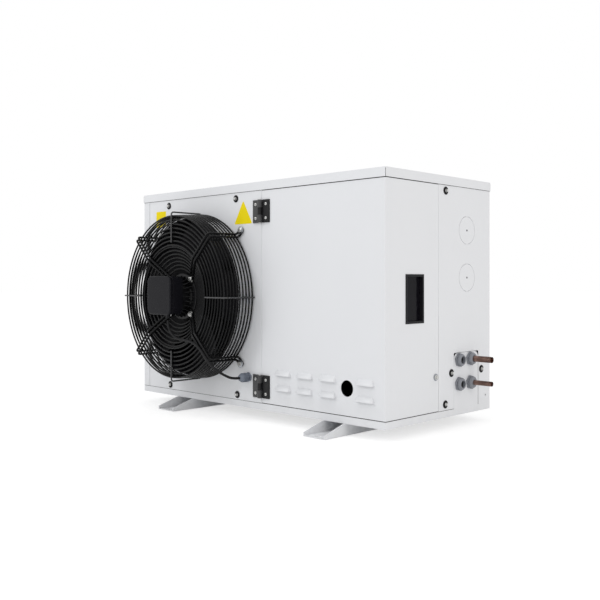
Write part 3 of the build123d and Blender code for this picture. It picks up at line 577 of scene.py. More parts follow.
def settle(name: str, bm: bmesh.types.BMesh, finish: Finish, body: Body, nodes: Sequence[str] = (),
           bevel: float = 0.0, smooth: float = SHARP) -> None:
    """Turns a mesh into a finished piece of the unit.

    Args:
        name: the piece's name.
        bm: its mesh, freed here.
        finish: what it is coated with or made of.
        body: the body it rides on.
        nodes: CAD nodes that it stands for.
        bevel: width of its rounded edges in metres.
        smooth: edges sharper than this many degrees stay sharp.
    """
    bmesh.ops.recalc_face_normals(bm, faces=bm.faces)
    mesh = bpy.data.meshes.new(name)
    bm.to_mesh(mesh)
    bm.free()
    mesh.polygons.foreach_set("use_smooth", [True] * len(mesh.polygons))
    mesh.set_sharp_from_angle(angle=math.radians(smooth))
    piece = stand(name, mesh)
    if bevel:
        rounding = piece.modifiers.new("rounding", "BEVEL")
        rounding.width = bevel
        rounding.segments = 3
        rounding.limit_method = "ANGLE"
        rounding.angle_limit = math.radians(SHARP)
        rounding.harden_normals = True
    mesh.materials.append(Paintbox.get(finish))
    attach(piece, body.value)
    if nodes:
        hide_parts(*nodes)
    LOG.info("%s: %d faces on %s", name, len(mesh.polygons), body.value)


def dress(finish: Finish, *nodes: str) -> None:
    """Gives carried-over CAD nodes a finish.

    Args:
        finish: the finish.
        nodes: names of the CAD nodes.
    """
    for node in nodes:
        mesh = frame["nodes"][node].data
        mesh.materials.clear()
        mesh.materials.append(Paintbox.get(finish))
        LOG.info("%s keeps its CAD form, %s", node, finish.value.name)


def rounded(route: Sequence[Vector], radius: float, steps: int = 6) -> list[Vector]:
    """Rounds a bent bar's corners.

    Args:
        route: the bar's corner points.
        radius: wanted bend radius.
        steps: points on each bend.

    Returns:
        Points along the bar.
    """
    path = [route[0]]
    for before, corner, after in zip(route, route[1:], route[2:]):
        back, ahead = (before - corner), (after - corner)
        half = back.angle(ahead) / 2
        reach = min(radius / math.tan(half), 0.48 * min(back.length, ahead.length))
        start, end = corner + back.normalized() * reach, corner + ahead.normalized() * reach
        for i in range(steps + 1):
            t = i / steps
            path.append(start.lerp(corner, t).lerp(corner.lerp(end, t), t))
    return path + [route[-1]]


def join(bm: bmesh.types.BMesh, first: Sequence[bmesh.types.BMVert],
         second: Sequence[bmesh.types.BMVert]) -> None:
    """Lays faces between two loops.

    Args:
        bm: mesh that holds them.
        first: one loop.
        second: another, with as many points.
    """
    for i in range(len(first)):
        n = (i + 1) % len(first)
        bm.faces.new((first[i], first[n], second[n], second[i]))


def tube(bm: bmesh.types.BMesh, path: Sequence[Vector], radius: float, sides: int = 12,
         closed: bool = False) -> None:
    """Sweeps a round section along a path.

    Args:
        bm: mesh to add to.
        path: centre line.
        radius: in metres.
        sides: facets round the section.
        closed: whether the path closes on itself.
    """
    count = len(path)
    tangents = []
    for i in range(count):
        ahead = path[(i + 1) % count] if closed or i < count - 1 else path[i]
        behind = path[i - 1] if closed or i > 0 else path[i]
        tangents.append((ahead - behind).normalized())
    side = tangents[0].orthogonal().normalized()
    rings = []
    for point, along in zip(path, tangents):
        side = (side - along * side.dot(along)).normalized()
        other = along.cross(side)
        rings.append([bm.verts.new(point + (side * math.cos(a) + other * math.sin(a)) * radius)
                      for a in (math.tau * k / sides for k in range(sides))])
    for first, second in zip(rings, rings[1:] + rings[:1] if closed else rings[1:]):
        join(bm, first, second)
    if not closed:
        bm.faces.new(reversed(rings[0]))
        bm.faces.new(rings[-1])


def circle(centre: Vector, axis: Vector, radius: float, count: int = 96) -> list[Vector]:
    """Points round a circle.

    Args:
        centre: its centre.
        axis: its normal.
        radius: in metres.
        count: how many points.

    Returns:
        The points.
    """
    side = axis.orthogonal().normalized()
    other = axis.normalized().cross(side)
    return [centre + (side * math.cos(a) + other * math.sin(a)) * radius for a in
            (math.tau * i / count for i in range(count))]


def scaled(profile: Iterable[Pair], radius: float = MM, height: float = MM) -> list[Pair]:
    """A profile in metres.

    Args:
        profile: radius and height pairs.
        radius: what one unit of its radii stands for, a millimetre unless said.
        height: what one unit of its heights stands for.

    Returns:
        The profile.
    """
    return [(r * radius, h * height) for r, h in profile]


def lathe(bm: bmesh.types.BMesh, profile: Sequence[Pair], centre: Vector, axis: Vector,
          sides: int = 48) -> None:
    """Turns a profile about an axis.

    Args:
        bm: mesh to add to.
        profile: (radius, height) pairs; a closed loop unless both ends lie on the axis.
        centre: where height is zero.
        axis: direction of growing height.
        sides: facets round.
    """
    axis = axis.normalized()
    rings: list[list[bmesh.types.BMVert]] = []
    for radius, height in profile:
        middle = centre + axis * height
        if radius == 0:
            rings.append([bm.verts.new(middle)])
        else:
            rings.append([bm.verts.new(p) for p in circle(middle, axis, radius, sides)])
    pairs = list(zip(rings, rings[1:]))
    if len(rings[0]) > 1 and len(rings[-1]) > 1:
        pairs.append((rings[-1], rings[0]))
    for first, second in pairs:
        for k in range(sides):
            n = (k + 1) % sides
            corners = [loop[i % len(loop)] for loop, i in ((first, k), (first, n), (second, n), (second, k))]
            unique = list(dict.fromkeys(corners))
            if len(unique) > 2:
                bm.faces.new(unique)


def extrusion(bm: bmesh.types.BMesh, outline: Sequence[Vector], depth: Vector) -> None:
    """Carries a flat outline along a vector.

    Args:
        bm: mesh to add to.
        outline: its corners, in order.
        depth: the vector.
    """
    near = [bm.verts.new(p) for p in outline]
    far = [bm.verts.new(p + depth) for p in outline]
    bm.faces.new(reversed(near))
    bm.faces.new(far)
    join(bm, near, far)


def bar(bm: bmesh.types.BMesh, centre: Vector, length: Vector, width: Vector, depth: Vector) -> None:
    """A square-edged bar.

    Args:
        bm: mesh to add to.
        centre: the middle of its foot.
        length: half its length.
        width: half its width.
        depth: from its foot to its top.
    """
    extrusion(bm, [centre + length * a + width * b for a, b in CORNERS], depth)


def block(bm: bmesh.types.BMesh, x: Pair, y: Pair, z: Pair) -> None:
    """A box between two places on each axis.

    Args:
        bm: mesh to add to.
        x: its left and right sides.
        y: its front and back.
        z: its foot and top.
    """
    corners = [Vector((x[i], y[k], z[0])) for i, k in ((0, 0), (1, 0), (1, 1), (0, 1))]
    extrusion(bm, corners, Z * (z[1] - z[0]))


def outwards(u: Vector, v: Vector, angle: float) -> tuple[Vector, Vector]:
    """Unit vectors away from an axis and round it.

    Args:
        u: direction at angle 0.
        v: direction at a quarter turn.
        angle: in radians.

    Returns:
        The two directions.
    """
    return u * math.cos(angle) + v * math.sin(angle), v * math.cos(angle) - u * math.sin(angle)


def ribs(bm: bmesh.types.BMesh, seat: Vector, axes: tuple[Vector, Vector, Vector], section: Sequence[Pair],
         count: int, thick: float) -> None:
    """Ribs round an axis, evenly spread.

    Args:
        bm: mesh to add to.
        seat: where their depth is zero.
        axes: directions at angle 0, at a quarter turn and of growing depth.
        section: radius and depth pairs in millimetres.
        count: how many ribs.
        thick: their thickness in millimetres.
    """
    for i in range(count):
        out, side = outwards(axes[0], axes[1], math.tau * i / count)
        outline = [seat + out * (r * MM) + axes[2] * (d * MM) - side * (thick / 2 * MM) for r, d in section]
        extrusion(bm, outline, side * (thick * MM))


def polygon(centre: Vector, axis: Vector, radius: float, sides: int, turn: float = 0.0) -> list[Vector]:
    """Corners of a regular polygon.

    Args:
        centre: its centre.
        axis: its normal.
        radius: to the corners.
        sides: how many.
        turn: rotation in radians.

    Returns:
        The corners.
    """
    spin = Matrix.Rotation(turn, 3, axis)
    return [spin @ (p - centre) + centre for p in circle(centre, axis, radius, sides)]


def rounded_rectangle(centre: Vector, u: Vector, v: Vector, size: Pair, radius: float,
                      steps: int = 6) -> list[Vector]:
    """Outline of a rectangle with round corners.

    Args:
        centre: its centre.
        u: unit vector along its width.
        v: unit vector along its height.
        size: width and height.
        radius: of the corners.
        steps: points on each corner.

    Returns:
        The outline.
    """
    points = []
    for quarter in range(4):
        sx, sy = ((1, 1), (-1, 1), (-1, -1), (1, -1))[quarter]
        middle = (sx * (size[0] / 2 - radius), sy * (size[1] / 2 - radius))
        for i in range(steps + 1):
            angle = math.pi / 2 * (quarter + i / steps)
            across, up = middle[0] + radius * math.cos(angle), middle[1] + radius * math.sin(angle)
            points.append(centre + u * across + v * up)
    return points


# ------------------------------------------------------------------ places taken from the frame
def low(node: str) -> Vector:
    """Lowest corner of a CAD node."""
    return Vector(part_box(node)[0])


def high(node: str) -> Vector:
    """Highest corner of a CAD node."""
    return Vector(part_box(node)[1])


def middle(node: str) -> Vector:
    """Middle of a CAD node's box."""
    return (low(node) + high(node)) / 2


def joint_place(name: str) -> Vector:
    """Where a joint's axis stands."""
    joints = frame["record"]["behaviour"]["joints"]
    return Vector(next(j for j in joints if j["name"] == name)["pos_m"])


def solids(node: str) -> list[tuple[Vector, Vector]]:
    """Boxes of a CAD node's separate solids.

    Args:
        node: the CAD node.

    Returns:
        Lowest and highest corner of each solid.
    """
    mesh = frame["nodes"][node].data
    keys = [tuple(round(c, 6) for c in v.co) for v in mesh.vertices]
    owner = {key: key for key in keys}

    def root(key: tuple[float, ...]) -> tuple[float, ...]:
        """Follows a point to the first point of its solid.

        Args:
            key: the point.

        Returns:
            The first point.
        """
        while owner[key] != key:
            owner[key] = owner[owner[key]]
            key = owner[key]
        return key

    for face in mesh.polygons:
        corners = [keys[i] for i in face.vertices]
        for corner in corners[1:]:
            owner[root(corner)] = root(corners[0])
    groups: dict[tuple[float, ...], list[tuple[float, ...]]] = {}
    for key in set(keys):
        groups.setdefault(root(key), []).append(key)
    return [(Vector(map(min, zip(*g))), Vector(map(max, zip(*g)))) for _, g in sorted(groups.items())]


FRONT = low("fan_panel").y
RIGHT = high("right_side_panel").x
FAN = Vector((joint_place("fan_spin").x, FRONT, joint_place("fan_spin").z))


def on_fan(u: float, y: float, w: float) -> Vector:
    """A place given in millimetres from the fan's axis and the front panel's face."""
    return FAN + Vector((u, y, w)) * MM


# ------------------------------------------------------------------ fasteners
@dataclass
class ScrewSet:
    """Hexagon screws, each on a round washer."""

    node: str
    body: Body
    washer_finish: Finish
    washer_radius: float = 10.4 * MM
    washer_thick: float = 2.0 * MM
    flats: float = 6.6 * MM
    flange: float = 4.3 * MM
    outward: float = 0.0
    tall: float = 6.4 * MM
    washer_side: tuple[Pair, ...] = ((0, 0), (0.97, 0), (1, 0.35), (0.9, 0.8), (0.55, 1), (0, 1))
    flange_side: tuple[Pair, ...] = ((0, 0), (1, 0), (1, 0.7), (0.8, 1.3), (0, 1.3))

    def seats(self) -> list[tuple[Vector, Vector]]:
        """Places of the screws, on the right side or on the front.

        Returns:
            Place and outward direction of each.
        """
        found = []
        for lowest, highest in solids(self.node):
            core = (lowest + highest) / 2
            if highest.x > RIGHT + MM:
                found.append((Vector((RIGHT, core.y, core.z)), X))
            else:
                away = Vector((core.x - FAN.x, 0, core.z - FAN.z)).normalized() * self.outward
                found.append((Vector((core.x, lowest.y + self.tall + 0.2 * MM, core.z)) + away, -Y))
        return found

    def build(self) -> None:
        """Makes the washers and the heads."""
        washers, heads = bmesh.new(), bmesh.new()
        for place, out in self.seats():
            lathe(washers, scaled(self.washer_side, self.washer_radius, self.washer_thick), place, out, 32)
            base = place + out * self.washer_thick
            lathe(heads, scaled(self.flange_side, self.flange), base, out, 32)
            hexagon = polygon(base + out * 1.2 * MM, out, self.flats / math.sqrt(3), 6, 0.3)
            extrusion(heads, hexagon, out * (self.tall - self.washer_thick - 1.2 * MM))
        settle(f"{self.node}_washers", washers, self.washer_finish, self.body, (self.node,))
        settle(f"{self.node}_heads", heads, Finish.ZINC, self.body, (self.node,), 0.35 * MM)


@dataclass
class PanHeads:
    """Cross-recessed pan-head screws."""

    node: str
    body: Body
    radius: float = 4.2 * MM
    tall: float = 2.2 * MM
    dome: tuple[Pair, ...] = ((0, 0), (1, 0), (1, 0.4), (0.85, 0.8), (0.5, 0.95), (0, 0.97))

    def build(self) -> None:
        """Makes the heads, with painted shade for their cross recesses."""
        heads, cross_shade = bmesh.new(), bmesh.new()
        for lowest, highest in solids(self.node):
            seat = Vector(((lowest.x + highest.x) / 2, highest.y, (lowest.z + highest.z) / 2))
            r, t = self.radius, self.tall
            lathe(heads, scaled(self.dome, r, t), seat, -Y, 28)
            # Painted shade: thin dark bars on each dome for the shade in its cross recess.
            for along, across in ((X, Z), (Z, X)):
                bar(cross_shade, seat - Y * (t * 0.93), along * (r * 0.5), across * (r * 0.12), -Y * (t * 0.07))
        settle(f"{self.node}_heads", heads, Finish.ZINC, self.body, (self.node,))
        settle(f"{self.node}_crosses", cross_shade, Finish.DARK, self.body, (self.node,))


# ------------------------------------------------------------------ cabinet
@dataclass
class Cabinet:
    """The painted sheet-metal case with its fixings, stickers and seams."""

    triangle_foot: Pair = (-80.0 * MM, -4.0 * MM)
    triangle_low: float = 538.0 * MM
    triangle_top: float = 603.0 * MM
    square: tuple[float, float, float, float] = (-456.5 * MM, -406.0 * MM, 545.0 * MM, 594.0 * MM)
    film: float = 0.25 * MM
    bolt: float = 7.4 * MM
    knockout_y: float = 339.5 * MM
    knockout_z: Pair = (389.0 * MM, 514.0 * MM)
    mark: tuple[Pair, ...] = ((0, 0), (2.6, 0), (2.0, 0.5), (0, 0.6))
    # Thickness of the dark strips that paint the shade in the seams.
    shade_strip_thick: float = 0.9 * MM

    def build(self) -> None:
        """Dresses the panels and adds what is fixed to them."""
        dress(Finish.PAINT, "base_tray", "foot_rail_left", "foot_rail_right", "top_cover", "left_side_panel",
              "right_side_panel", "gland_plate", "rear_panel", "head_rail")
        self.round_edges()
        ScrewSet("panel_screws", Body.CABINET, Finish.RUBBER).build()
        self.rail_bolts()
        self.stickers()
        self.knockouts()
        self.fold_seams()
        self.shade_strips()
        self.backings()

    def round_edges(self) -> None:
        """Softens the folds of the cover and the tray."""
        for node in ("top_cover", "base_tray"):
            fold = frame["nodes"][node].modifiers.new("fold", "BEVEL")
            fold.width = 0.9 * MM
            fold.segments = 2
            fold.limit_method = "ANGLE"
            fold.angle_limit = math.radians(60)

    def rail_bolts(self) -> None:
        """Hexagon bolts in the tray."""
        bolts = bmesh.new()
        for lowest, highest in solids("rail_bolts"):
            centre = Vector(((lowest.x + highest.x) / 2, (lowest.y + highest.y) / 2, lowest.z))
            extrusion(bolts, polygon(centre, Z, self.bolt, 6), Z * (highest.z - lowest.z))
        settle("rail_bolt_heads", bolts, Finish.ZINC, Body.CABINET, ("rail_bolts",), 0.5 * MM)

    def stickers(self) -> None:
        """A bare triangle and a bare square in yellow vinyl."""
        x0, x1 = self.triangle_foot
        corners = [Vector((x0, FRONT, self.triangle_low)), Vector((x1, FRONT, self.triangle_low)),
                   Vector(((x0 + x1) / 2, FRONT, self.triangle_top))]
        start = (corners[0] + corners[1]) / 2
        outline = rounded([start, corners[1], corners[2], corners[0], start], 4 * MM)[:-1]
        bm = bmesh.new()
        extrusion(bm, outline, -Y * self.film)
        settle("yellow_triangle", bm, Finish.YELLOW, Body.CABINET)
        left, right, bottom, top = self.square
        centre = Vector(((left + right) / 2, FRONT, (bottom + top) / 2))
        bm = bmesh.new()
        extrusion(bm, rounded_rectangle(centre, X, Z, (right - left, top - bottom), 2.5 * MM), -Y * self.film)
        settle("yellow_square", bm, Finish.YELLOW, Body.CABINET)

    def knockouts(self) -> None:
        """Painted shade of the centre punch dimples of the two knockouts."""
        marks = bmesh.new()
        for height in self.knockout_z:
            lathe(marks, scaled(self.mark), Vector((RIGHT, FRONT + self.knockout_y, height)), X, 24)
        settle("knockout_dimple_shade", marks, Finish.DARK, Body.CABINET)

    def fold_seams(self) -> None:
        """Painted shade in the open corners of the cover's folded skirt."""
        seams = bmesh.new()
        least, most = low("top_cover"), high("top_cover")
        for sx, sy in ((1, -1), (-1, -1), (1, 1), (-1, 1)):
            x, y = (most.x if sx > 0 else least.x), (most.y if sy > 0 else least.y)
            foot = Vector((x - sx * 0.75 * MM, y - sy * 0.75 * MM, least.z))
            extrusion(seams, polygon(foot, Z, 0.6 * MM, 6), Z * (most.z - least.z - 3 * MM))
        settle("cover_corner_seam_shade", seams, Finish.DARK, Body.CABINET)

    def backings(self) -> None:
        """Painted stops behind the side gaps, and painted shade in the slot beside the pipe plate."""
        least, most = low("gland_plate"), high("gland_plate")
        gap = high("door").y
        for name, finish, y, z in (
                ("door_side_stop", Finish.PAINT,
                 (gap - 0.3 * MM, gap + 1.3 * MM), (290 * MM, high("door").z)),
                ("plate_front_stop", Finish.PAINT,
                 (least.y - 1.3 * MM, least.y + 0.3 * MM), (least.z, most.z - 14 * MM)),
                # Painted shade: a dark strip behind the slot beside the pipe plate.
                ("plate_rear_slot_shade", Finish.DARK,
                 (most.y - 0.3 * MM, most.y + 2.2 * MM), (least.z, most.z + 1 * MM))):
            bm = bmesh.new()
            face = RIGHT - (0.5 if finish is Finish.PAINT else 0.9) * MM
            block(bm, (face - 0.8 * MM, face), y, z)
            settle(name, bm, finish, Body.CABINET)

    def shade_strips(self) -> None:
        """Painted shade: dark strips under the cover's skirt and round the door's head and foot, for the
        shade in the seams.
        """
        door_low, door_high = low("door"), high("door")
        cover, tray = low("top_cover").z, high("base_tray").z
        strips = bmesh.new()
        seam, side, thin = door_low.x, door_high.y, self.shade_strip_thick
        skirt, rim = (cover - thin, cover), (tray - 0.3 * MM, tray + 0.7 * MM)
        head, foot = (door_high.z + 0.2 * MM, cover + 2 * MM), (tray - 1 * MM, door_low.z - 0.2 * MM)
        for x, y, z in (
                ((low("left_side_panel").x, seam), (FRONT - thin, FRONT), skirt),
                ((seam, RIGHT - 2 * MM), (FRONT + 0.4 * MM, FRONT + 14 * MM), head),
                ((RIGHT - 14 * MM, RIGHT - 0.4 * MM), (FRONT + 2 * MM, side), head),
                ((RIGHT, RIGHT + thin), (side, high("right_side_panel").y), skirt),
                ((seam, RIGHT - 3 * MM), (FRONT + 0.6 * MM, FRONT + 12.5 * MM), foot),
                ((RIGHT - 12.5 * MM, RIGHT - 0.6 * MM), (FRONT + 3 * MM, side), foot),
                ((low("base_tray").x + MM, seam), (FRONT - 0.2 * MM, FRONT + 0.1 * MM), rim),
                ((RIGHT - 0.1 * MM, RIGHT + 0.25 * MM), (side, FRONT + 279 * MM), rim)):
            block(strips, x, y, z)
        settle("seam_shade_strips", strips, Finish.DARK, Body.CABINET)


# ------------------------------------------------------------------ fan panel
@dataclass
class FanPlate:
    """Front sheet of the fan side, its drawn collar, and the black inlet ring inside it. Millimetres."""

    sheet: float = 1.5
    flange: float = 13.0
    collar: float = 226.5
    root: float = 6.0
    reach: float = 46.0
    inlet_depth: float = 32.0
    segments: int = 160

    def angles(self) -> list[float]:
        """Directions from the fan's axis, with those of the sheet's corners among them.

        Returns:
            The directions in radians, in order.
        """
        least, most = low("fan_panel"), high("fan_panel")
        corners = [math.atan2(z - FAN.z, x - FAN.x) % math.tau for x in (least.x, most.x)
                   for z in (least.z, most.z)]
        even = [math.tau * i / self.segments for i in range(self.segments)]
        near = 0.4 * math.tau / self.segments
        return sorted(corners + [a for a in even if all(abs(a - c) > near for c in corners)])

    def section(self) -> list[tuple[str, float, float]]:
        """Closed section of the sheet.

        Returns:
            Kind of loop, radius or inset, and depth of every point.
        """
        wide, thick, root = self.collar + self.sheet + self.root, self.sheet, self.root
        bends = [math.pi / 2 + math.pi / 2 * i / 6 for i in range(7)]
        far = root + thick
        back = [("circle", wide + far * math.cos(a), -root + far * math.sin(a)) for a in bends]
        rim = [("circle", self.collar + r, y - self.reach) for r, y in
               ((0, 0.5), (0.3, 0), (thick - 0.3, 0), (thick, 0.5))]
        face = [("circle", wide + root * math.cos(a), -root + root * math.sin(a)) for a in reversed(bends)]
        edge = [("rim", 1.6, 0), ("rim", 0.9, 0), ("rim", 0.3, 0.3), ("rim", 0, 0.9), ("rim", 0, self.flange),
                ("rim", thick, self.flange), ("rim", thick, thick + 1.4), ("rim", thick + 1.4, thick)]
        return [*back, *rim, *face, ("circle", wide + 0.6, 0), *edge, ("circle", wide + 0.6, thick)]

    def build(self) -> None:
        """Makes the sheet and the inlet ring."""
        least, most = (low("fan_panel") - FAN) / MM, (high("fan_panel") - FAN) / MM
        bm = bmesh.new()
        loops = []
        for kind, size, y in self.section():
            loop = []
            for a in self.angles():
                u, w = math.cos(a), math.sin(a)
                if kind == "circle":
                    loop.append(bm.verts.new(on_fan(size * u, y, size * w)))
                    continue
                reach = min((most.x if u > 0 else least.x) / u if abs(u) > 1e-9 else math.inf,
                            (most.z if w > 0 else least.z) / w if abs(w) > 1e-9 else math.inf)
                x = min(max(reach * u, least.x + size), most.x - size)
                z = min(max(reach * w, least.z + size), most.z - size)
                loop.append(bm.verts.new(on_fan(x, y, z)))
            loops.append(loop)
        for first, second in zip(loops, loops[1:] + loops[:1]):
            join(bm, first, second)
        settle("fan_panel_sheet", bm, Finish.PAINT, Body.CABINET, ("fan_panel",))
        bm = bmesh.new()
        outer, inner, front, back = self.collar - 0.2, self.collar - 1.8, self.reach - 0.5, -self.inlet_depth
        profile = ((outer, back), (outer, front), (inner + 0.5, front), (inner, front - 0.6), (inner, back))
        lathe(bm, scaled(profile), FAN, -Y, 160)
        settle("fan_inlet_ring", bm, Finish.BLACK_PLASTIC, Body.CABINET)


# ------------------------------------------------------------------ door
@dataclass
class Door:
    """The hinged door, its louvres, hinges, window and latch screw. Millimetres."""

    louvre_x: tuple[float, ...] = (120.5, 200.5, 282.5, 405.5)
    louvre_z: tuple[float, ...] = (89.5, 129.5)
    louvre_width: float = 55.8
    louvre_top: float = 45.0
    louvre_tall: float = 14.8
    louvre_out: float = 9.4
    louvre_rows: int = 10
    hollow: float = 1.3
    lip: float = 0.9
    shoulders: tuple[Pair, ...] = ((-1, 0), (-0.96, 0.8), (-0.88, 1), (0.88, 1), (0.96, 0.8), (1, 0))

    def hood(self, bm: bmesh.types.BMesh, x: float, z: float) -> None:
        """One pressed hood with round shoulders, open below.

        Args:
            bm: mesh to add to.
            x: its middle.
            z: its foot.
        """
        rows, last = self.louvre_rows, len(self.shoulders) - 1
        outer, inner = [], []
        for i in range(rows + 1):
            t = i / rows
            half = self.louvre_width / 2 + (self.louvre_top - self.louvre_width) / 2 * t ** 1.6
            out = self.louvre_out * math.cos(math.pi / 2 * t) ** 0.9 if t < 1 else 0.0
            level = z + self.louvre_tall * t
            outer.append([Vector((x + s * half, FRONT / MM - f * out, level)) for s, f in self.shoulders])
            inner.append([p + Vector((0, self.hollow, -self.lip if i == rows else 0)) for p in outer[-1]])
        front, back = ([[bm.verts.new(p * MM) for p in row] for row in skin] for skin in (outer, inner))
        for k in range(last):
            for skin in (front, back):
                for first, second in zip(skin, skin[1:]):
                    bm.faces.new((first[k], first[k + 1], second[k + 1], second[k]))
            for end in (0, -1):
                bm.faces.new((front[end][k], front[end][k + 1], back[end][k + 1], back[end][k]))
        for i in range(rows):
            for k in (0, last):
                bm.faces.new((front[i][k], front[i + 1][k], back[i + 1][k], back[i][k]))

    def louvres(self) -> None:
        """All the pressed hoods."""
        bm = bmesh.new()
        for x in self.louvre_x:
            for z in self.louvre_z:
                self.hood(bm, x, z)
        settle("door_louvre_hoods", bm, Finish.PAINT, Body.DOOR, smooth=50)

    def build(self) -> None:
        """Dresses the door and its fittings."""
        self.louvres()
        dress(Finish.PAINT, "door")
        dress(Finish.LEAF_PAINTED_LIGHT, "cabinet_hinge_leaves")
        dress(Finish.IRON, "door_hinge_leaves")
        dress(Finish.ZINC, "hinge_pins")
        dress(Finish.BLACK_PLASTIC, "window_bezel")
        dress(Finish.PANE, "window_pane")
        PanHeads("cabinet_hinge_screws", Body.CABINET).build()
        PanHeads("door_hinge_screws", Body.DOOR).build()
        ScrewSet("door_screw", Body.DOOR, Finish.DULL_ZINC,
                 washer_radius=9.4 * MM, flats=8 * MM, flange=6 * MM).build()


# ------------------------------------------------------------------ fan guard
@dataclass
class FanGuard:
    """Welded basket of coated wire: face, dish, flared wall, spokes, ties and hairpin arms. Millimetres."""

    radius: float = 230.02
    face_y: float = -100.0
    wire: float = 2.35
    rod: float = 3.1
    spoke: float = 2.2
    bite: float = 0.4
    flat_first: float = 147.0
    spoke_start: float = 154.0
    flat_rings: int = 8
    cone_rings: int = 7
    cone_pitch: float = 10.3
    cone_slope: float = 0.43
    wall_rings: int = 9
    wall_pitch: float = 10.3
    wall_flare: float = 0.78
    arm_wall: float = 241.0
    arm_gap: float = 12.0
    eye: float = 268.0
    motor_radius: float = 50.0
    motor_y: float = -71.2
    spoke_seat: float = -2.3
    spoke_bend: float = 8.0
    arm_bend: float = 9.0

    def ring_places(self) -> list[Pair]:
        """Lays out the face, the dish and the wall.

        Returns:
            Radius and depth of every ring.
        """
        pitch = (self.radius - self.flat_first) / (self.flat_rings - 1)
        places = [(self.flat_first + pitch * i, self.face_y) for i in range(self.flat_rings)]
        for i in range(self.cone_rings):
            inset = self.cone_pitch * (i + 0.5)
            places.append((self.flat_first - inset, self.face_y + self.cone_slope * inset))
        places += [(self.radius + self.wall_flare * i, self.face_y + self.wall_pitch * i) for i in
                   range(1, self.wall_rings + 1)]
        return places

    def turned(self, points: Iterable[Triple], degrees: float) -> list[Vector]:
        """Points given as outwards, depth and sideways, turned about the fan's axis.

        Args:
            points: the points.
            degrees: the turn.

        Returns:
            The places in metres.
        """
        c, s = math.cos(math.radians(degrees)), math.sin(math.radians(degrees))
        return [on_fan(out * c - side * s, y, out * s + side * c) for out, y, side in points]

    def rings(self) -> None:
        """All the ring wires."""
        bm = bmesh.new()
        for radius, y in self.ring_places():
            tube(bm, circle(on_fan(0, y, 0), Y, radius * MM, 128), self.wire * MM, 12, True)
        settle("guard_ring_wires", bm, Finish.WIRE, Body.CABINET, ("fan_guard",), smooth=80)

    def spokes(self) -> None:
        """Four single wires over the face, and the ties inside the wall."""
        spokes, ties = bmesh.new(), bmesh.new()
        y = self.face_y - self.wire - self.spoke + self.bite
        inside = self.radius - 2 * self.wire + self.bite
        wide, end = inside + self.wall_flare * self.wall_rings, self.wall_pitch * self.wall_rings
        wall = self.arm_wall
        for degrees in (0, 90, 180, 270):
            route = self.turned([(self.spoke_start, y, 0), (wall, y, 0), (wall, self.spoke_seat, 0)], degrees)
            tube(spokes, rounded(route, self.spoke_bend * MM), self.spoke * MM, 12)
            tie = self.turned([(inside, self.face_y - 1, 0), (wide, self.face_y + end + 1, 0)], degrees)
            tube(ties, tie, self.wire * MM, 12)
        settle("guard_spokes", spokes, Finish.SPOKE_HIGHLIGHT, Body.CABINET, ("fan_guard",), smooth=80)
        settle("guard_ties", ties, Finish.WIRE, Body.CABINET, ("fan_guard",), smooth=80)

    def arms(self) -> None:
        """Four bent hairpins from the motor to the panel."""
        bm = bmesh.new()
        half, wall = self.arm_gap / 2, self.arm_wall
        y = self.face_y - self.wire - self.rod + self.bite
        seat, foot = -self.rod - 0.1, self.eye - half
        dish = self.flat_first + (y - self.motor_y) / self.cone_slope
        side = [(self.motor_radius, self.motor_y), (dish, self.motor_y), (self.flat_first, y), (wall, y),
                (wall, seat), (foot, seat)]
        bend = [(foot + half * math.sin(a), seat, half * math.cos(a)) for a in
                (math.radians(15 * k) for k in range(1, 12))]
        for degrees in (45, 135, 225, 315):
            there = self.turned([(r, d, half) for r, d in side], degrees)
            turn = self.turned(bend, degrees)
            back = self.turned([(r, d, -half) for r, d in reversed(side)], degrees)
            there, back = (rounded(leg, self.arm_bend * MM, 7) for leg in (there, back))
            tube(bm, [*there, *turn, *back], self.rod * MM, 14)
        settle("guard_arms", bm, Finish.WIRE, Body.CABINET, ("fan_guard",), smooth=80)

    def build(self) -> None:
        """Makes the guard and its fixings."""
        self.rings()
        self.spokes()
        self.arms()
        ScrewSet("guard_screws", Body.CABINET, Finish.DULL_ZINC,
                 washer_radius=11 * MM, flats=10 * MM, flange=6.5 * MM).build()


